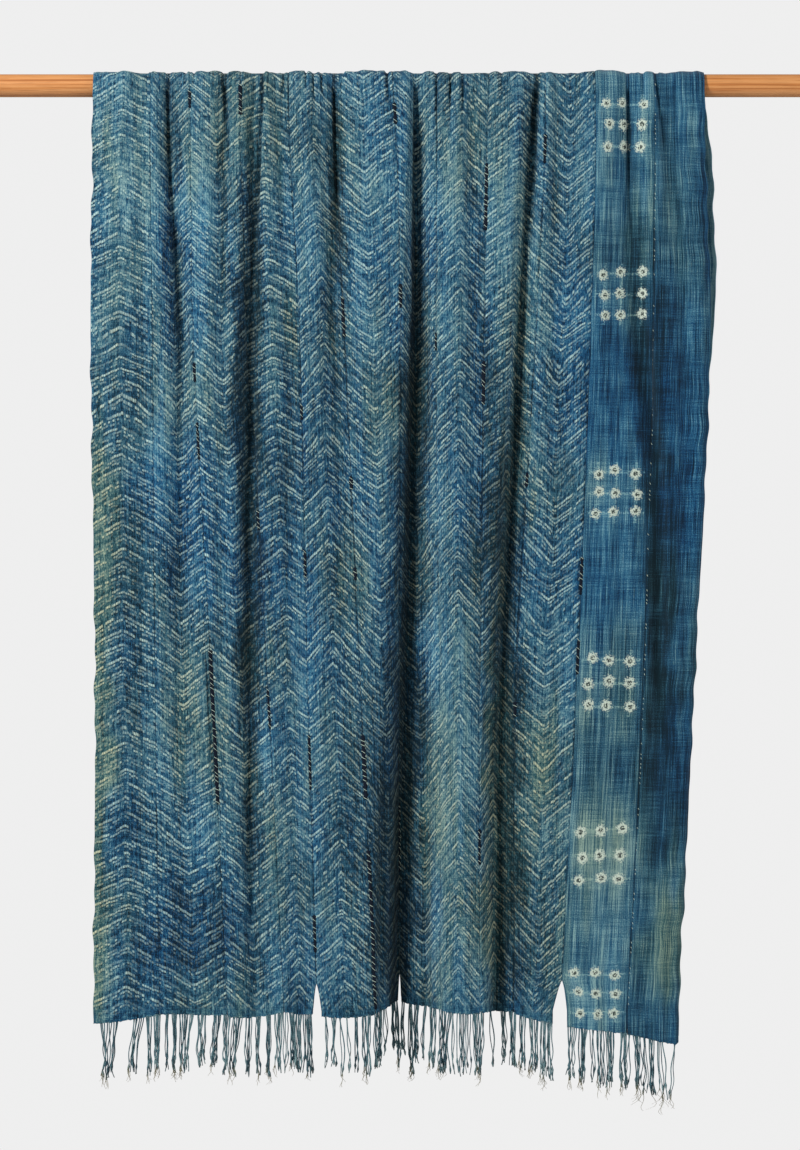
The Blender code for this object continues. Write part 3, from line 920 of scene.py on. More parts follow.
# Points of a dot's star, the most that a star is turned, the length of its points, and how ragged its rim
# is: cells of the noise and its reach
STAR_POINTS = 5.0
STAR_TURN = 30.0
STAR_REACH = 0.5 * MM
RAGGED_CELL = (2.0 * MM, 2.2 * MM)
RAGGED_REACH = 13 * MM
# Radius of the tie's dark specks, inner and outer, their strength, their cells and their edges
TIE_RADIUS = (2.6 * MM, 4.2 * MM)
SPECK_STRENGTH = 0.95
SPECK_CELL = (1.9 * MM, 2.1 * MM)
SPECK_EDGE = (0.38, 0.46)
# Pale lines that link the dots of a group: beside a dot and below it
LINK_BESIDE = (0.5, 0.02, 0.07)
LINK_BELOW = (0.5, 0.03, 0.08)
LINK_EDGE = (0.40, 0.60)
LINK_TONE = 0.54
GROUP_TONE = 0.06
DOT_GROUP = 10
# Share of the strip's width, then the count of dots there
DOTS_ACROSS = ((0.0, -0.2), (0.2, 0.5), (0.48, 1.5), (0.8, 2.5), (1.0, 3.2))
# Heights of the three rows of each group, in mm, and the room above and below them
DOT_ROWS = (
    (-29, -53, -88),
    (-266, -295, -324),
    (-545, -575, -602),
    (-808, -841, -874),
    (-1046, -1082, -1115),
    (-1249, -1274, -1302),
)
DOT_MARGIN = 17
print(f"{len(DOT_ROWS)} groups of nine dots")


# %% Dotted and plain finishes
def dot_places(share, height):
    """Count of dots across and down at each point of the strip."""
    across = np.interp(share, *zip(*DOTS_ACROSS))
    heights, counts = [], []
    for group, rows in enumerate(DOT_ROWS):
        heights += [rows[0] + DOT_MARGIN, *rows, rows[2] - DOT_MARGIN]
        counts += [DOT_GROUP * group + place for place in (-0.1, 0.5, 1.5, 2.5, 3.1)]
    down = np.interp(-height / MM, -np.array(heights), counts)
    return across, down


def dotted_finish():
    finish = Finish("dotted_indigo", 0.92, 0.12)
    tone, ground_height = dyed_ground(finish, PLAIN_STREAKS)
    across, down = finish.uv("rows")
    in_group = finish.math("FLOORED_MODULO", down, float(DOT_GROUP))
    inside = across.near(*DOT_SQUARE) * in_group.near(*DOT_SQUARE)
    chances = finish.chances(across.whole(), down.whole())
    away = []
    for value, chance, size in zip((across, down), chances, DOT_CELL):
        moved = value.part() - 0.5 + chance.scaled(DOT_STRAY, -DOT_STRAY / 2)
        away.append(moved * size)
    radius = finish.math("SQRT", away[0].scaled(away[0], away[1] * away[1]) + 1e-9)
    angle = finish.math("ARCTAN2", away[1], away[0])
    points = finish.math("COSINE", angle.scaled(STAR_POINTS, chances[2] * STAR_TURN))
    weave_x, weave_y = finish.uv("weave")
    ragged = finish.noise(weave_x / RAGGED_CELL[0], weave_y / RAGGED_CELL[1], 2.0)
    edge = (ragged - 0.5).scaled(RAGGED_REACH, points.scaled(STAR_REACH, DOT_RADIUS))
    bare = (1.0 - (radius - edge).step(*DOT_EDGE)) * inside
    speck = finish.noise(weave_x / SPECK_CELL[0], weave_y / SPECK_CELL[1], 0.0)
    dark = (1.0 - radius.step(*TIE_RADIUS)) * speck.step(*SPECK_EDGE)
    link = down.part().near(*LINK_BESIDE).most(across.part().near(*LINK_BELOW)) * ragged.step(*LINK_EDGE)
    pale = (link * inside).scaled(LINK_TONE, inside * GROUP_TONE)
    ground = indigo_colour(finish, tone + pale)
    spotted = finish.mix(bare * DOT_STRENGTH, ground, BARE_COTTON)
    finish.colour(finish.mix(dark * inside * SPECK_STRENGTH, spotted, DEEP_GREEN))
    finish.bump(bare.scaled(DOT_RISE, ground_height), BUMP)
    return finish.material


def plain_finish():
    finish = Finish("plain_indigo", 0.92, 0.12)
    tone, ground_height = dyed_ground(finish, PLAIN_STREAKS)
    finish.colour(indigo_colour(finish, tone))
    finish.bump(ground_height, BUMP)
    return finish.material


DOTTED_STRIP = len(CHEVRONS)
DOTTED = dotted_finish()
PLAIN = plain_finish()
print("finishes", DOTTED.name, PLAIN.name)


# %% What each strip is finished with
def cloth_finish(strip):
    """Finish of that strip's cloth."""
    if strip < DOTTED_STRIP:
        return STITCHED
    return DOTTED if strip == DOTTED_STRIP else PLAIN


def pattern_places(strip, across, run):
    """Pair of numbers that the strip's pattern is drawn with."""
    if strip == DOTTED_STRIP:
        return np.stack(dot_places(across / STRIP_WIDTH, path(run)[0]), axis=-1)
    return np.stack((strip * STRIP_WIDTH + across, row_phase(strip, across, run)), axis=-1)


print("finishes from the left", [cloth_finish(strip).name for strip in range(STRIP_COUNT)])

# %% [markdown]
# ## The woven strips
# A strip is a grid, because its rows and columns are the warp and weft directions. The grid is laid on the
# drape, then the Solidify modifier gives it the thickness of the cloth. Its columns are closer at the
# seams, where the cloth sinks in. Each strip keeps two UV maps: one in metres of cloth, one in stitched
# rows.

# %% Grid of one strip
INNER_COLUMNS = 32
EDGE_COLUMNS = (0.0, 1.0 * MM, 2.4 * MM)
BACK_ROWS = 64
TURN_ROWS = 20
FRONT_ROWS = 340
HEM_BAND = 9 * MM
NORMAL_REACH = 1.5 * MM
END_ROW = 0.3 * MM


def column_shares():
    """Shares of the strip's width where its columns lie."""
    inner = np.linspace(EDGE_COLUMNS[-1], STRIP_WIDTH - EDGE_COLUMNS[-1], INNER_COLUMNS + 1)
    left = np.array(EDGE_COLUMNS[:-1])
    return np.concatenate((left, inner, STRIP_WIDTH - left[::-1])) / STRIP_WIDTH


def strip_runs(strip, shares):
    """Runs of all rows and columns, from the back heading over the rod to the front heading."""
    back = QUARTER_TURN - hem_height(strip, shares, False) - HEADING_HEIGHT
    front = QUARTER_TURN - hem_height(strip, shares, True) - HEADING_HEIGHT
    behind = -back + (back - QUARTER_TURN) * np.linspace(0, 1, BACK_ROWS + 1)[:-1, None]
    turn = np.linspace(-QUARTER_TURN, QUARTER_TURN, TURN_ROWS + 1)[:-1, None] * np.ones_like(shares)
    ahead = QUARTER_TURN + (front - QUARTER_TURN) * np.linspace(0, 1, FRONT_ROWS + 1)[:, None]
    ends = behind[:1], behind[:1] + END_ROW, behind[1:], turn, ahead[:-1], ahead[-1:] - END_ROW, ahead[-1:]
    return np.concatenate(ends)


def outward(x, run):
    """Outward normals of the main folds, the same from both sides of a seam."""
    beside = middle(x + NORMAL_REACH, run) - middle(x - NORMAL_REACH, run)
    below = middle(x, run + NORMAL_REACH) - middle(x, run - NORMAL_REACH)
    normals = np.cross(below, beside)
    return normals / np.linalg.norm(normals, axis=-1, keepdims=True)


def dressed(strip, shares, runs, lift=0.0):
    """Points of the cloth with its relief, with x and the distance across as well."""
    x = places_across(strip, runs[:, 0], runs[:, -1], shares)
    across = np.broadcast_to(shares * STRIP_WIDTH, x.shape)
    height = relief(strip, across, x, runs) + lift
    return middle(x, runs) + outward(x, runs) * height[..., None], x, across


shares = column_shares()
print(f"{len(shares) - 1} columns and {len(strip_runs(0, shares)) - 1} rows to a strip")


# %% Object from a grid
MERGE_REACH = 0.01 * MM


def new_grid(made, rows, columns):
    """Adds a flat grid to a bmesh and gives its vertices, with the row and column of each."""
    added = bmesh.ops.create_grid(made, x_segments=columns, y_segments=rows, size=1)["verts"]
    places = [(round((vert.co.y + 1) / 2 * rows), round((vert.co.x + 1) / 2 * columns)) for vert in added]
    return added, places


def stand(name, data, place=(0, 0, 0)):
    """Puts an object into the scene."""
    made = bpy.data.objects.new(name, data)
    made.location = place
    bpy.context.scene.collection.objects.link(made)
    return made


def new_object(name, made, materials, merged=False):
    """Object from a bmesh, which it frees. The seams of rolled grids are merged first."""
    if merged:
        bmesh.ops.remove_doubles(made, verts=made.verts[:], dist=MERGE_REACH)
        bmesh.ops.recalc_face_normals(made, faces=made.faces[:])
    mesh = bpy.data.meshes.new(name)
    made.to_mesh(mesh)
    made.free()
    for material in materials:
        mesh.materials.append(material)
    mesh.shade_smooth()
    return stand(name, mesh)


def keep_uv(mesh, name, values):
    """Stores a pair of numbers for each vertex as a UV map."""
    layer = mesh.uv_layers.new(name=name)
    corners = np.zeros(len(mesh.loops), np.int32)
    mesh.loops.foreach_get("vertex_index", corners)
    layer.uv.foreach_set("vector", values[corners].astype(np.float32).ravel())


def keep_number(mesh, name, values):
    """Stores one number for each vertex."""
    attribute = mesh.attributes.new(name, "FLOAT", "POINT")
    attribute.data.foreach_set("value", values.astype(np.float32))


def pattern(strip, x, across, runs):
    """What the finish of a strip reads at each point: two pairs of numbers and two single ones."""
    weave = np.stack((strip * STRIP_WIDTH + across, runs), axis=-1)
    fade, tint = fade_with_painted_shade_and_light(strip, across, x, runs)
    return {"weave": weave, "rows": pattern_places(strip, across, runs)}, {"fade": fade, "tint": tint}


def finish_strip(strip):
    """One strip of cloth, laid on its folds."""
    shares = column_shares()
    runs = strip_runs(strip, shares)
    points, x, across = dressed(strip, shares, runs)
    made = bmesh.new()
    added, places = new_grid(made, len(runs) - 1, len(shares) - 1)
    for vert, place in zip(added, places):
        vert.co = points[place]
    bmesh.ops.reverse_faces(made, faces=made.faces[:])
    cloth = new_object(f"woven_strip_{strip + 1:02d}", made, [cloth_finish(strip)])
    pairs, numbers = pattern(strip, x, across, runs)
    numbers["rows_strength"] = np.clip(np.minimum(runs[-1] - runs, runs - runs[0]) / HEM_BAND, 0, 1)
    row, column = np.transpose(places)
    for name, values in pairs.items():
        keep_uv(cloth.data, name, values[row, column])
    for name, values in numbers.items():
        keep_number(cloth.data, name, values[row, column])
    thicken = cloth.modifiers.new("cloth thickness", "SOLIDIFY")
    thicken.thickness = CLOTH_THICKNESS
    thicken.offset = 0
    return cloth


strips = [finish_strip(strip) for strip in range(STRIP_COUNT)]
print(f"{len(strips)} strips of {len(strips[0].data.polygons)} faces each")

# %% [markdown]
# ## The fringe
# Below each hem the warp goes on as loose ends. They were twisted in pairs and knotted near the tips, and
# many tips have frayed into pale undyed hairs. They hang in tufts that lean together and cross, with bare
# places between them, so a table gives each tuft of the front as it is seen. The last 8 mm of cloth, the
# heading, belongs to the same piece, because the ends leave from it. A strand is a grid rolled into a tube.

# %% Tufts of the front fringe
# Columns: x of the first and last root, x of the first and last tip, z of the tips, strands, frayed tips
TUFTS = (
    (-422, -393, -418, -404, -1396, 6, 3), (-375, -359, -386, -375, -1386, 5, 1),
    (-357, -349, -353, -350, -1388, 4, 1), (-346, -335, -344, -338, -1383, 6, 3),
    (-329, -324, -328, -325, -1382, 3, 0), (-321, -313, -319, -315, -1387, 5, 3),
    (-311, -288, -310, -302, -1385, 8, 3), (-285, -271, -286, -275, -1379, 5, 0),
    (-262, -250, -266, -260, -1378, 7, 1), (-248, -237, -248, -241, -1387, 4, 0),
    (-234, -221, -240, -232, -1390, 6, 3), (-217, -207, -217, -211, -1391, 4, 0),
    (-202, -195, -200, -198, -1391, 4, 1), (-187, -181, -186, -183, -1392, 5, 2),
    (-177, -157, -173, -160, -1384, 6, 1), (-155, -148, -154, -144, -1378, 5, 1),
    (-146, -136, -143, -137, -1386, 5, 0), (-134, -123, -131, -120, -1390, 6, 1),
    (-105, -103, -105, -104, -1382, 2, 0), (-96, -89, -94, -91, -1380, 3, 0),
    (-85, -84, -80, -79, -1394, 1, 1), (-75, -74, -70, -69, -1389, 1, 0),
    (-64, -59, -63, -60, -1386, 3, 0), (-53, -41, -48, -41, -1388, 6, 3),
    (-36, -25, -37, -27, -1380, 8, 0), (-23, -20, -22, -20, -1361, 2, 0),
    (-12, -6, -11, -7, -1360, 4, 0), (-4, -2, -3, -1, -1384, 3, 2),
    (2, 7, 4, 6, -1371, 3, 0), (13, 17, 17, 20, -1394, 4, 3),
    (21, 27, 21, 26, -1376, 4, 0), (35, 37, 30, 32, -1374, 2, 0),
    (41, 51, 41, 49, -1382, 5, 2), (54, 73, 54, 68, -1385, 7, 2),
    (74, 75, 74, 75, -1388, 1, 0), (79, 99, 83, 97, -1388, 6, 0),
    (101, 118, 105, 115, -1386, 8, 3), (126, 127, 132, 133, -1378, 1, 0),
    (140, 150, 144, 149, -1376, 4, 0), (152, 164, 156, 161, -1379, 5, 0),
    (167, 178, 169, 173, -1385, 4, 2), (180, 195, 182, 189, -1385, 6, 3),
    (198, 214, 198, 214, -1396, 8, 3), (235, 248, 235, 241, -1394, 4, 1),
    (251, 263, 252, 257, -1400, 5, 2), (265, 273, 267, 273, -1400, 2, 0),
    (276, 288, 278, 289, -1408, 5, 2), (290, 300, 292, 297, -1410, 5, 2),
    (309, 322, 307, 320, -1409, 8, 2), (327, 338, 332, 338, -1408, 5, 2),
    (341, 345, 343, 347, -1416, 2, 1), (348, 357, 351, 358, -1418, 4, 1),
    (360, 369, 362, 374, -1422, 3, 3), (384, 385, 378, 380, -1426, 1, 1),
)
FRINGE_SEED = 23
# Strands for each one counted in the table, and how far they follow their tuft
FRINGE_FULLNESS = 1.5
TIP_PULL = 0.7
# How far roots and tips stray, how many strands keep their order, and how much shorter some are, all in mm
ROOT_STRAY = 1.0
TIP_STRAY = 2.5
IN_ORDER = 0.55
SHORTER = (-1, 0, 0, 1, 1, 2, 4)
SHORTER_STEP = 2.6
# The back's tufts: places and widths as shares of their room, and of each strand how far it is drawn in and
# how long it is
BACK_TUFT_PLACES = (0.35, 0.65)
BACK_TUFT_WIDTHS = (0.3, 0.42)
BACK_DRAWN_IN = (0.2, 0.7)
BACK_LENGTHS = (0.8, 1.05)
BACK_TUFTS_PER_STRIP = 2
BACK_STRANDS_PER_TUFT = 4
BACK_STRAND_LENGTH = 72 * MM
BACK_FRINGE_SPAN = 3


def front_strands(strip, chance):
    """Root, tip and fraying of each strand below one strip of the front."""
    at_hem = np.array([QUARTER_TURN + FRONT_DROP])
    low, high = (float(seam_x(number, at_hem)[0]) for number in (strip, strip + 1))
    found = []
    for first, last, tip_first, tip_last, tip_z, count, frayed in TUFTS:
        count = round(count * FRINGE_FULLNESS)
        for number in range(count):
            share = (number + 0.5) / count
            root = (first + (last - first) * share + chance.uniform(-ROOT_STRAY, ROOT_STRAY)) * MM
            crossed = share if chance.random() < IN_ORDER else chance.random()
            tip = (tip_first + (tip_last - tip_first) * crossed + chance.uniform(-TIP_STRAY, TIP_STRAY)) * MM
            tip = root + (tip - root) * TIP_PULL
            if low < root <= high or (strip == STRIP_COUNT - 1 and root > high):
                rise = SHORTER_STEP * chance.choice(SHORTER)
                found.append((root, tip, (tip_z + rise) * MM, number < frayed))
    return found


def back_strands(strip, chance):
    """Root, tip and fraying of each strand below one strip of the back."""
    low, high = SEAMS[strip][0] * MM, SEAMS[strip + 1][0] * MM
    found = []
    for tuft in range(BACK_TUFTS_PER_STRIP):
        centre = low + (high - low) * (tuft + chance.uniform(*BACK_TUFT_PLACES)) / BACK_TUFTS_PER_STRIP
        reach = (high - low) / BACK_TUFTS_PER_STRIP * chance.uniform(*BACK_TUFT_WIDTHS)
        for number in range(BACK_STRANDS_PER_TUFT):
            root = reach * ((number + 0.5) / BACK_STRANDS_PER_TUFT * 2 - 1)
            tip_z = BACK_HEM - BACK_STRAND_LENGTH * chance.uniform(*BACK_LENGTHS)
            found.append((centre + root, centre + root * chance.uniform(*BACK_DRAWN_IN), tip_z, number == 1))
    return found


print(f"{sum(row[5] for row in TUFTS)} strands in {len(TUFTS)} tufts at the front")

# %% Tubes and bands from rolled grids
STRAND_SIDES = 6
STRAND_STEPS = 16
HAIR_SIDES = 3
HAIR_STEPS = 8
HAIR_RADIUS = 0.5 * MM
HAIR_COUNTS = (2, 3, 4)
# How strands lean to their tips, how they and their hairs grow thin, and how the hairs slow in falling
LEAN = 1.4
STRAND_TAPER = 0.25
HAIR_TAPER = 0.5
HAIR_SLOWING = 0.25
# Where a strand starts to turn pale, how pale its tip is if whole or frayed, and how pale its hairs start
PALE_START = 0.86
PALE_TIPS = (0.1, 0.5)
HAIR_PALENESS = 0.7
# The last tuft's hairs curl more than the others
LAST_CURLING = 2.0
# Lowest and highest of what each strand draws, lengths in mm
BOW = (-2.6, 2.6)
SWAY_TURNS = (5, 13)
SWAY = (0.8, 2.8)
DEPTH_TURNS = (2, 5)
DEPTH_SWAY = 1.6
STRAND_RADIUS = (0.66, 0.98)
KNOT_PLACE = (0.78, 0.99)
KNOT_SIZE = (1.9, 2.8)
HAIR_LENGTH = (12, 28)
HAIR_CURL = (2, 5.5)
HAIR_TURNS = (2, 6)
TURN_START = (0, 6)


def lay_grid(made, points, pairs, numbers, material=0):
    """Adds a grid with these points. Pairs of numbers stay on its corners and single ones on its vertices."""
    added, places = new_grid(made, points.shape[0] - 1, points.shape[1] - 1)
    for vert, place in zip(added, places):
        vert.co = points[place]
        for name, values in numbers.items():
            vert[made.verts.layers.float[name]] = float(values[place])
        for face in vert.link_faces:
            face.material_index = material
        for loop in vert.link_loops:
            for name, values in pairs.items():
                loop[made.loops.layers.uv[name]].uv = values[place]


def lay_strand(made, centres, radii, sides, pale, shade):
    """A tube round a line that runs down, closed at both ends, with how pale it is along its length."""
    turn = np.linspace(0, 2 * math.pi, sides + 1)
    ring = np.stack((np.cos(turn), np.sin(turn), 0 * turn), axis=-1)
    radii = np.concatenate(([0], radii, [0]))
    points = np.concatenate((centres[:1], centres, centres[-1:]))[:, None, :] + radii[:, None, None] * ring
    steps = np.linalg.norm(np.diff(points[:, 0], axis=0), axis=-1)
    along = np.concatenate(([0], np.cumsum(steps)))
    pair = np.stack(np.meshgrid(np.linspace(0, 1, sides + 1), along), axis=-1)
    fade = np.concatenate((pale[:1], pale, pale[-1:]))[:, None] * np.ones(sides + 1)
    lay_grid(made, points, {"weave": pair, "rows": pair}, {"fade": fade, "tint": 0 * fade + shade}, 1)


def lay_tail(made, root, tip, frayed, chance, curling=1.0):
    """A strand from its root to its knot, and the hairs below the knot where it has frayed."""
    share = np.linspace(0, 1, STRAND_STEPS + 1)
    pull = share ** LEAN * (1 + LEAN - LEAN * share)
    centres = root + (tip - root) * np.stack((pull, share, share), axis=-1)
    bow = np.sin(share * math.pi) * chance.uniform(*BOW)
    sway = np.sin(share * chance.uniform(*SWAY_TURNS) + chance.uniform(*TURN_START)) * share
    centres[:, 0] += (bow + sway * chance.uniform(*SWAY)) * MM
    sway = np.sin(share * chance.uniform(*DEPTH_TURNS) + chance.uniform(*TURN_START)) * share
    centres[:, 1] += sway * DEPTH_SWAY * MM
    radii = chance.uniform(*STRAND_RADIUS) * MM * (1 - STRAND_TAPER * share)
    knot = int(STRAND_STEPS * chance.uniform(*KNOT_PLACE))
    radii[knot] *= chance.uniform(*KNOT_SIZE)
    shade = chance.uniform(-1, 1)
    pale = np.clip((share - PALE_START) / (1 - PALE_START), 0, 1) * PALE_TIPS[frayed]
    lay_strand(made, centres, radii, STRAND_SIDES, pale, shade)
    for _ in range(chance.choice(HAIR_COUNTS) if frayed else 0):
        length = chance.uniform(*HAIR_LENGTH) * MM * curling ** 0.5
        down = np.linspace(0, 1, HAIR_STEPS + 1)
        curl = chance.uniform(*HAIR_CURL) * MM * down * curling
        turn = chance.uniform(*TURN_START) + chance.uniform(*HAIR_TURNS) * down
        drop = -length * down * (1 - HAIR_SLOWING * down)
        hair = centres[-2] + np.stack((curl * np.sin(turn), curl * np.cos(turn), drop), axis=-1)
        pale = HAIR_PALENESS + (1 - HAIR_PALENESS) * down
        lay_strand(made, hair, HAIR_RADIUS * (1 - HAIR_TAPER * down), HAIR_SIDES, pale, shade)


print(f"a strand has {2 * STRAND_SIDES * (STRAND_STEPS + 1)} triangles")

# %% Fringe finish
YARN_DEEP = srgb(38, 58, 70)
YARN_BLUE = srgb(80, 114, 124)
YARN_GREY = srgb(138, 164, 166)
HAIR_PALE = srgb(176, 166, 130)
PLY_PITCH = 2.6 * MM
PLY_TONE = 0.14
WORN_LENGTH = 9 * MM
OWN_TONE = 0.22
YARN_BUMP = 0.2 * MM


def yarn_finish():
    """Twisted dark yarn, each strand a little different, going pale where it has frayed."""
    finish = Finish("indigo_yarn", 0.9)
    turn, along = finish.uv("weave")
    own = finish.attribute("tint")
    ply = finish.math("SINE", turn.scaled(4 * math.pi, along / (PLY_PITCH / (2 * math.pi))))
    tone = own.scaled(OWN_TONE, finish.noise(along / WORN_LENGTH, own, 2.0))
    tone = ply.scaled(PLY_TONE, tone)
    yarn = finish.ramp(tone, ((0.2, YARN_DEEP), (0.5, YARN_BLUE), (0.95, YARN_GREY)))
    finish.colour(finish.mix(finish.attribute("fade"), yarn, HAIR_PALE))
    finish.bump(ply, YARN_BUMP)
    return finish.material


YARN = yarn_finish()
print("finish", YARN.name)

# %% Heading and tails of each fringe piece
HEADING_ROWS = (0.0, 0.04, 0.3, 0.6, 0.96, 1.0)
# Least distance from a root to the edge of its strip, and how deep it sits in the hem
ROOT_INSET = 1.0 * MM
ROOT_DEPTH = 1.5 * MM
# How far a tip strays to the front or back, in mm
TIP_DEPTH = (-2, 2)


def lay_heading(made, strip, front):
    """The last 8 mm of a strip's cloth: a flat band closed along its rim."""
    shares = column_shares()
    hem = QUARTER_TURN - hem_height(strip, shares, front)
    down = np.array(HEADING_ROWS)[:, None]
    runs = (1 if front else -1) * (hem - HEADING_HEIGHT * (1 - down))
    runs = np.concatenate((runs, runs[::-1]))
    half = np.full((len(runs), len(shares)), CLOTH_THICKNESS / 2)
    half[len(runs) // 2:] *= -1
    half[:, 0] = half[:, -1] = 0
    points, x, across = dressed(strip, shares, runs, half)
    closed = np.append(np.arange(len(runs)), 0)
    kept = pattern(strip, x, across, runs)
    kept = [{name: values[closed] for name, values in layer.items()} for layer in kept]
    lay_grid(made, points[closed], *kept)


def lay_tails(made, strip, front, chance):
    """All the strands below one strip."""
    at_hem = np.array([QUARTER_TURN + FRONT_DROP if front else BACK_HEM - QUARTER_TURN])
    low = float((seam_x(strip, at_hem) + half_gap(strip, at_hem))[0]) + ROOT_INSET
    high = float((seam_x(strip + 1, at_hem) - half_gap(strip + 1, at_hem))[0]) - ROOT_INSET
    curling = LAST_CURLING if front and strip == STRIP_COUNT - 1 else 1.0
    for root_x, tip_x, tip_z, frayed in (front_strands if front else back_strands)(strip, chance):
        root_x = min(max(root_x, low), high)
        run = QUARTER_TURN - hem_height(strip, (root_x - low) / (high - low), front) - ROOT_DEPTH
        root = middle(np.array([root_x]), np.array([run if front else -run]))[0]
        tip = np.array([tip_x, root[1] + chance.uniform(*TIP_DEPTH) * MM, tip_z])
        lay_tail(made, root, tip, frayed, chance, curling)


def add_fringe(first, span, front):
    """One fringe piece: headings of its strips with all their tails."""
    made = bmesh.new()
    for layer in ("fade", "tint", "rows_strength"):
        made.verts.layers.float.new(layer)
    for layer in ("weave", "rows"):
        made.loops.layers.uv.new(layer)
    for strip in range(first, first + span):
        lay_heading(made, strip, front)
        lay_tails(made, strip, front, random.Random(FRINGE_SEED + (0 if front else strip)))
    side = "front" if front else "back"
    piece = new_object(f"{side}_fringe_{first + 1:02d}", made, [cloth_finish(first), YARN], merged=True)
    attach(piece, "root")
    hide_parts(f"fringe_{side}_{first + 1:02d}")
    return piece


front_fringes = [add_fringe(strip, 1, True) for strip in range(STRIP_COUNT)]
spans = range(0, STRIP_COUNT, BACK_FRINGE_SPAN)
back_fringes = [add_fringe(first, BACK_FRINGE_SPAN, False) for first in spans]
print("faces in the fringe", sum(len(piece.data.polygons) for piece in front_fringes + back_fringes))

# %% Attach each strip and hide its solid
for strip, cloth in enumerate(strips):
    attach(cloth, "root")
    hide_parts(f"strip_{strip + 1:02d}")
    "deep_indigo_cloth" if strip >= len(CHEVRONS) else "indigo_cloth"
    runs = strip_runs(strip, np.array([0.0, 0.5, 1.0]))

# %% [markdown]
# ## The mended seams
# Here and there a seam has worn open and was whipped together again with black thread, and cream threads of
# the first sewing still cross it. A table says where. The whipping is a narrow raised ribbon along the
# seam, as uneven as the hand that sewed it, and each cream thread is a short cord laid over it at a slant.

# %% Mends along the seams
# Columns: seam, height where the mend starts, height where it ends, width, all in mm
MENDS = (
    (2, -10, -35, 4.0), (2, -391, -419, 4.2), (2, -475, -528, 3.6), (2, -794, -1011, 4.6),
    (3, -2, -45, 4.4), (3, -598, -626, 4.0), (3, -850, -906, 3.8), (4, -451, -472, 3.6),
    (4, -654, -693, 3.4), (4, -913, -990, 3.2), (4, -1165, -1218, 3.8), (5, -300, -356, 4.0),
    (5, -550, -570, 5.0), (5, -678, -696, 4.6), (5, -913, -1004, 4.6), (5, -1074, -1298, 4.0),
    (6, -27, -57, 4.4), (6, -281, -315, 4.2), (6, -1010, -1110, 2.8), (7, -349, -375, 3.8),
    (8, -111, -206, 4.6), (8, -389, -451, 4.0), (8, -1044, -1095, 3.0), (9, -71, -112, 3.6),
    (9, -545, -566, 4.6), (9, -867, -889, 4.6), (10, -664, -717, 3.8), (10, -780, -829, 3.8),
)
# The ribbon: length of a stitch, height, lift over the cloth, and its widths on even and odd stitches
RIBBON_STEP = 1.2 * MM
RIBBON_HEIGHT = 1.7 * MM
RIBBON_LIFT = 0.9 * MM
RIBBON_TIP = 0.6 * MM
RIBBON_SIDES = 6
BEAT = (1.12, 0.82)
UNEVEN = (0.6, 1.2)
MEND_WIDENING = 1.3
MEND_SEED = 5
# The cream threads: distance apart and how it varies, reach as a share of the ribbon's width, slant in mm,
# how deep they sink into the ribbon and how they bow over it
CREAM_PITCH = 9 * MM
CREAM_STEPS = (0.6, 1.5)
CREAM_REACH = (0.45, 0.7)
CREAM_SLANT = (1.2, 2.6)
CREAM_SINK = 0.5
CREAM_BOW = 0.6
CREAM_RADIUS = 0.38 * MM
CREAM_SIDES = 4
# The last seam keeps its pale sewing thread: seam, distance between stitches, half length, place beside the
# seam and lift over the cloth
PALE_SEAM = 11
STITCH_PITCH = 7 * MM
STITCH_REACH = 1.2 * MM
STITCH_BESIDE = 1.2 * MM
STITCH_LIFT = 0.5 * MM
# Share of its stitches that are left, and how they stray along the seam and lean, in mm
STITCHES_LEFT = 0.5
STITCH_STRAY = (-2, 2)
STITCH_LEAN = (0.2, 1.0)
THREAD_BLACK = srgb(12, 14, 20)
THREAD_CREAM = srgb(206, 224, 206)
THREAD_WEAR = 0.16
DOWN = np.array([0.0, 0.0, -1.0])
print(f"{len(MENDS)} mends on {len({row[0] for row in MENDS})} seams")


# %% Ribbons and threads
def thread_finish(name, colour):
    finish = Finish(name, 0.8)
    x, y, z = finish.place()
    worn = finish.solid_noise(x / MM, y / MM, z / (2 * MM))
    finish.colour(finish.mix(worn * THREAD_WEAR, colour, INDIGO))
    finish.bump(worn, YARN_BUMP)
    return finish.material


def seam_line(seam, run, lift):
    """Points over the cloth along a seam, with the directions outwards and to the right."""
    shares = np.array([0.0, 1.0])
    points, x, _ = dressed(seam - 1, shares, run[:, None] * np.ones(2), CLOTH_THICKNESS / 2 + lift)
    out = outward(x[:, 1], run)
    right = np.cross(out, np.gradient(points[:, 1], axis=0))
    return points[:, 1], out, right / np.linalg.norm(right, axis=-1, keepdims=True)


def lay_cord(made, centres, out, right, half_widths, half_height, sides):
    """A flattened cord round a line, closed to a point at both ends."""
    turn = np.linspace(0, 2 * math.pi, sides + 1)
    ends = np.concatenate(([0], np.arange(len(centres)), [len(centres) - 1]))
    size = np.concatenate(([0], np.ones(len(centres)), [0]))[:, None, None]
    wide = (half_widths[ends, None] * np.cos(turn))[..., None] * right[ends, None]
    high = (half_height * np.sin(turn))[..., None] * out[ends, None]
    lay_grid(made, centres[ends, None] + size * (wide + high), {}, {})


def lay_thread(made, line, out, right):
    """A thin round thread, with one direction outwards and one beside it for its whole length."""
    out, right = np.broadcast_to(out, line.shape), np.broadcast_to(right, line.shape)
    lay_cord(made, line, out, right, np.full(len(line), CREAM_RADIUS), CREAM_RADIUS, CREAM_SIDES)


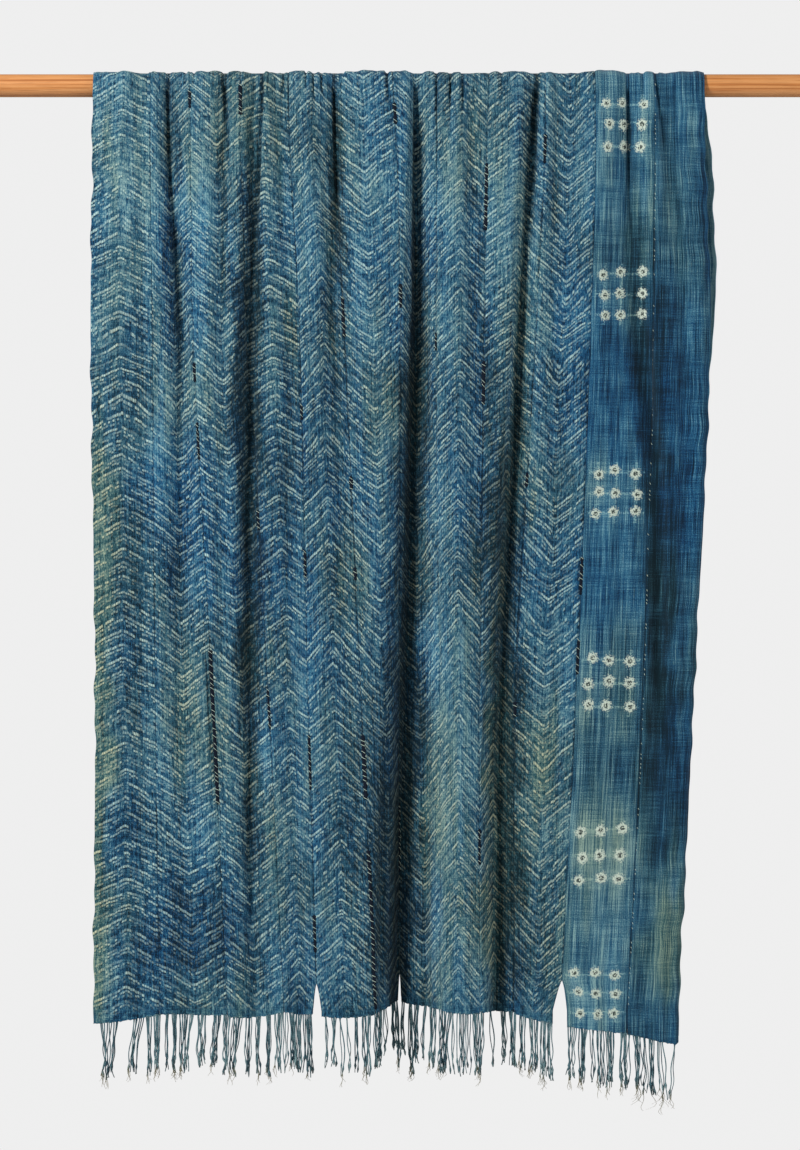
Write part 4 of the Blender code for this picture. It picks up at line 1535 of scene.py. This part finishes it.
def lay_mend(dark, cream, seam, top, end, width, chance):
    """One row of whipping, and the cream threads over it."""
    run = QUARTER_TURN + np.arange(-top * MM, -end * MM, RIBBON_STEP)
    points, out, right = seam_line(seam, run, RIBBON_LIFT)
    beat = np.array(BEAT)[np.arange(len(run)) % 2]
    uneven = np.array([chance.uniform(*UNEVEN) for _ in run])
    half_widths = MEND_WIDENING * width * MM / 2 * beat * uneven
    half_widths[0] = half_widths[-1] = RIBBON_TIP
    lay_cord(dark, points, out, right, half_widths, RIBBON_HEIGHT / 2, RIBBON_SIDES)
    share = np.linspace(-1, 1, 5)[:, None]
    rise = (RIBBON_HEIGHT / 2 + CREAM_SINK * CREAM_RADIUS) * (1 - CREAM_BOW * share ** 2)
    place = chance.uniform(0, 1) * CREAM_PITCH
    while place < (top - end) * MM - 2 * CREAM_RADIUS:
        number = int(place / RIBBON_STEP)
        reach = width * MM * chance.uniform(*CREAM_REACH)
        slant = chance.uniform(*CREAM_SLANT) * MM
        line = points[number] + (right[number] * reach + DOWN * slant) * share + out[number] * rise
        lay_thread(cream, line, out[number], -DOWN)
        place += CREAM_PITCH * chance.uniform(*CREAM_STEPS)


def lay_stitches(cream, chance):
    """The pale sewing thread that is left along one seam."""
    run = QUARTER_TURN + np.arange(2 * MM, FRONT_DROP, STITCH_PITCH)
    points, out, right = seam_line(PALE_SEAM, run, STITCH_LIFT)
    share = np.linspace(-1, 1, 4)[:, None]
    for number in range(len(run)):
        if chance.random() < STITCHES_LEFT:
            start = points[number] + right[number] * STITCH_BESIDE - DOWN * chance.uniform(*STITCH_STRAY) * MM
            lean = right[number] * chance.uniform(*STITCH_LEAN) * MM
            lay_thread(cream, start + (DOWN * STITCH_REACH + lean) * share, out[number], right[number])


def add_mends():
    """The black whipping and the cream threads over it, as two pieces."""
    chance = random.Random(MEND_SEED)
    dark, cream = bmesh.new(), bmesh.new()
    for mend in MENDS:
        lay_mend(dark, cream, *mend, chance)
    lay_stitches(cream, chance)
    pieces = []
    for made, shade, colour in ((dark, "dark", THREAD_BLACK), (cream, "cream", THREAD_CREAM)):
        name = f"seam_mends_{shade}"
        pieces.append(new_object(name, made, [thread_finish(name, colour)], merged=True))
        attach(pieces[-1], "root")
    return pieces


mends = add_mends()
print("faces in the mends", [len(piece.data.polygons) for piece in mends])

# %% [markdown]
# ## The rod
# The rod is plain turned wood, oiled to an orange brown. Its solid has the right shape, so it keeps it and
# only gets a finish. Growth rings cut lengthwise show as long thin lines along X, some darker with pores.

# %% Wood finish
WOOD_DARK = srgb(150, 84, 38)
WOOD = srgb(208, 134, 72)
WOOD_LIGHT = srgb(224, 158, 98)
GRAIN = (0.35, 2.6 * MM, 2.6 * MM)
PORES = (0.35 / 9, 0.7 * MM, 0.7 * MM)
WOOD_BUMP = 0.15 * MM


def wood_finish():
    finish = Finish("oiled_wood", 0.42, gloss=0.5)
    place = finish.place()
    grain = finish.solid_noise(*(way / size for way, size in zip(place, GRAIN)), 3.0)
    pores = finish.solid_noise(*(way / size for way, size in zip(place, PORES)), 1.0)
    tone = finish.ramp(grain, ((0.25, WOOD_DARK), (0.42, WOOD), (0.55, WOOD_LIGHT), (0.72, WOOD)))
    finish.colour(finish.mix(pores.step(0.58, 0.68) * 0.5, tone, WOOD_DARK))
    finish.bump(grain - pores, WOOD_BUMP)
    return finish.material


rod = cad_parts["rod"]
rod.data.materials.clear()
rod.data.materials.append(wood_finish())
print("rod finished in", rod.data.materials[0].name)

# %% [markdown]
# ## Stage, light and camera
# The throw hangs in front of a plain pale background, lit softly from the upper left. The floor lies well
# below the fringe, out of the main view. The camera looks straight at the cloth.

# %% Stage, light and camera
FRAME_HEIGHT = 1.61
CAMERA_DISTANCE = 5.0
CLOTH_FACE = -0.03
CAMERA_HEIGHT = -0.689
SENSOR = 36.0
FLOOR_HEIGHT = -1.9
FLOOR_RADIUS = 2.2
BACKGROUND = 0.86
SKY_LIGHT = 0.21
FLOOR_COLOURS = (srgb(226, 226, 225), srgb(234, 234, 233))
# Columns: name, place, point it aims at, size, power
LIGHTS = (
    ("key", (-3.2, -2.9, 1.6), (0, 0, -0.6), 1.0, 228),
    ("edge", (3.0, -1.0, 0.1), (0.4, 0, -0.4), 0.8, 36),
)


def add_camera():
    data = bpy.data.cameras.new("camera")
    data.sensor_width = SENSOR
    data.lens = SENSOR * CAMERA_DISTANCE / FRAME_HEIGHT
    camera = stand("camera", data, (0, CLOTH_FACE - CAMERA_DISTANCE, CAMERA_HEIGHT))
    camera.rotation_euler = (math.pi / 2, 0, 0)
    bpy.context.scene.camera = camera


def add_light(name, place, aim, size, power):
    data = bpy.data.lights.new(name, "AREA")
    data.shape = "DISK"
    data.size = size
    data.energy = power
    light = stand(name, data, place)
    light.rotation_euler = (Vector(aim) - Vector(place)).to_track_quat("-Z", "Y").to_euler()


def add_floor():
    made = bmesh.new()
    bmesh.ops.create_circle(made, cap_ends=True, segments=96, radius=FLOOR_RADIUS)
    bmesh.ops.translate(made, verts=made.verts[:], vec=(0, 0, FLOOR_HEIGHT))
    paper = Finish("pale_floor", 0.9)
    paper.colour(paper.mix(paper.solid_noise(*paper.place()), *FLOOR_COLOURS))
    new_object("floor", made, [paper.material])


def add_world():
    world = bpy.data.worlds.new("studio")
    bpy.context.scene.world = world
    world.use_nodes = True
    tree = world.node_tree
    seen = tree.nodes.new("ShaderNodeLightPath").outputs["Is Camera Ray"]
    strength = tree.nodes.new("ShaderNodeMapRange")
    strength.inputs["To Min"].default_value = SKY_LIGHT
    strength.inputs["To Max"].default_value = BACKGROUND
    tree.links.new(seen, strength.inputs["Value"])
    background = tree.nodes["Background"].inputs
    background["Color"].default_value = (1, 1, 1, 1)
    tree.links.new(strength.outputs[0], background["Strength"])


bpy.context.scene.view_settings.view_transform = "Standard"
add_camera()
add_world()
add_floor()
for light in LIGHTS:
    add_light(*light)
print("camera", tuple(round(value, 3) for value in bpy.context.scene.camera.location))

# %% [markdown]
# The finished throw has to stay inside the box of its solids, apart from a little ease.
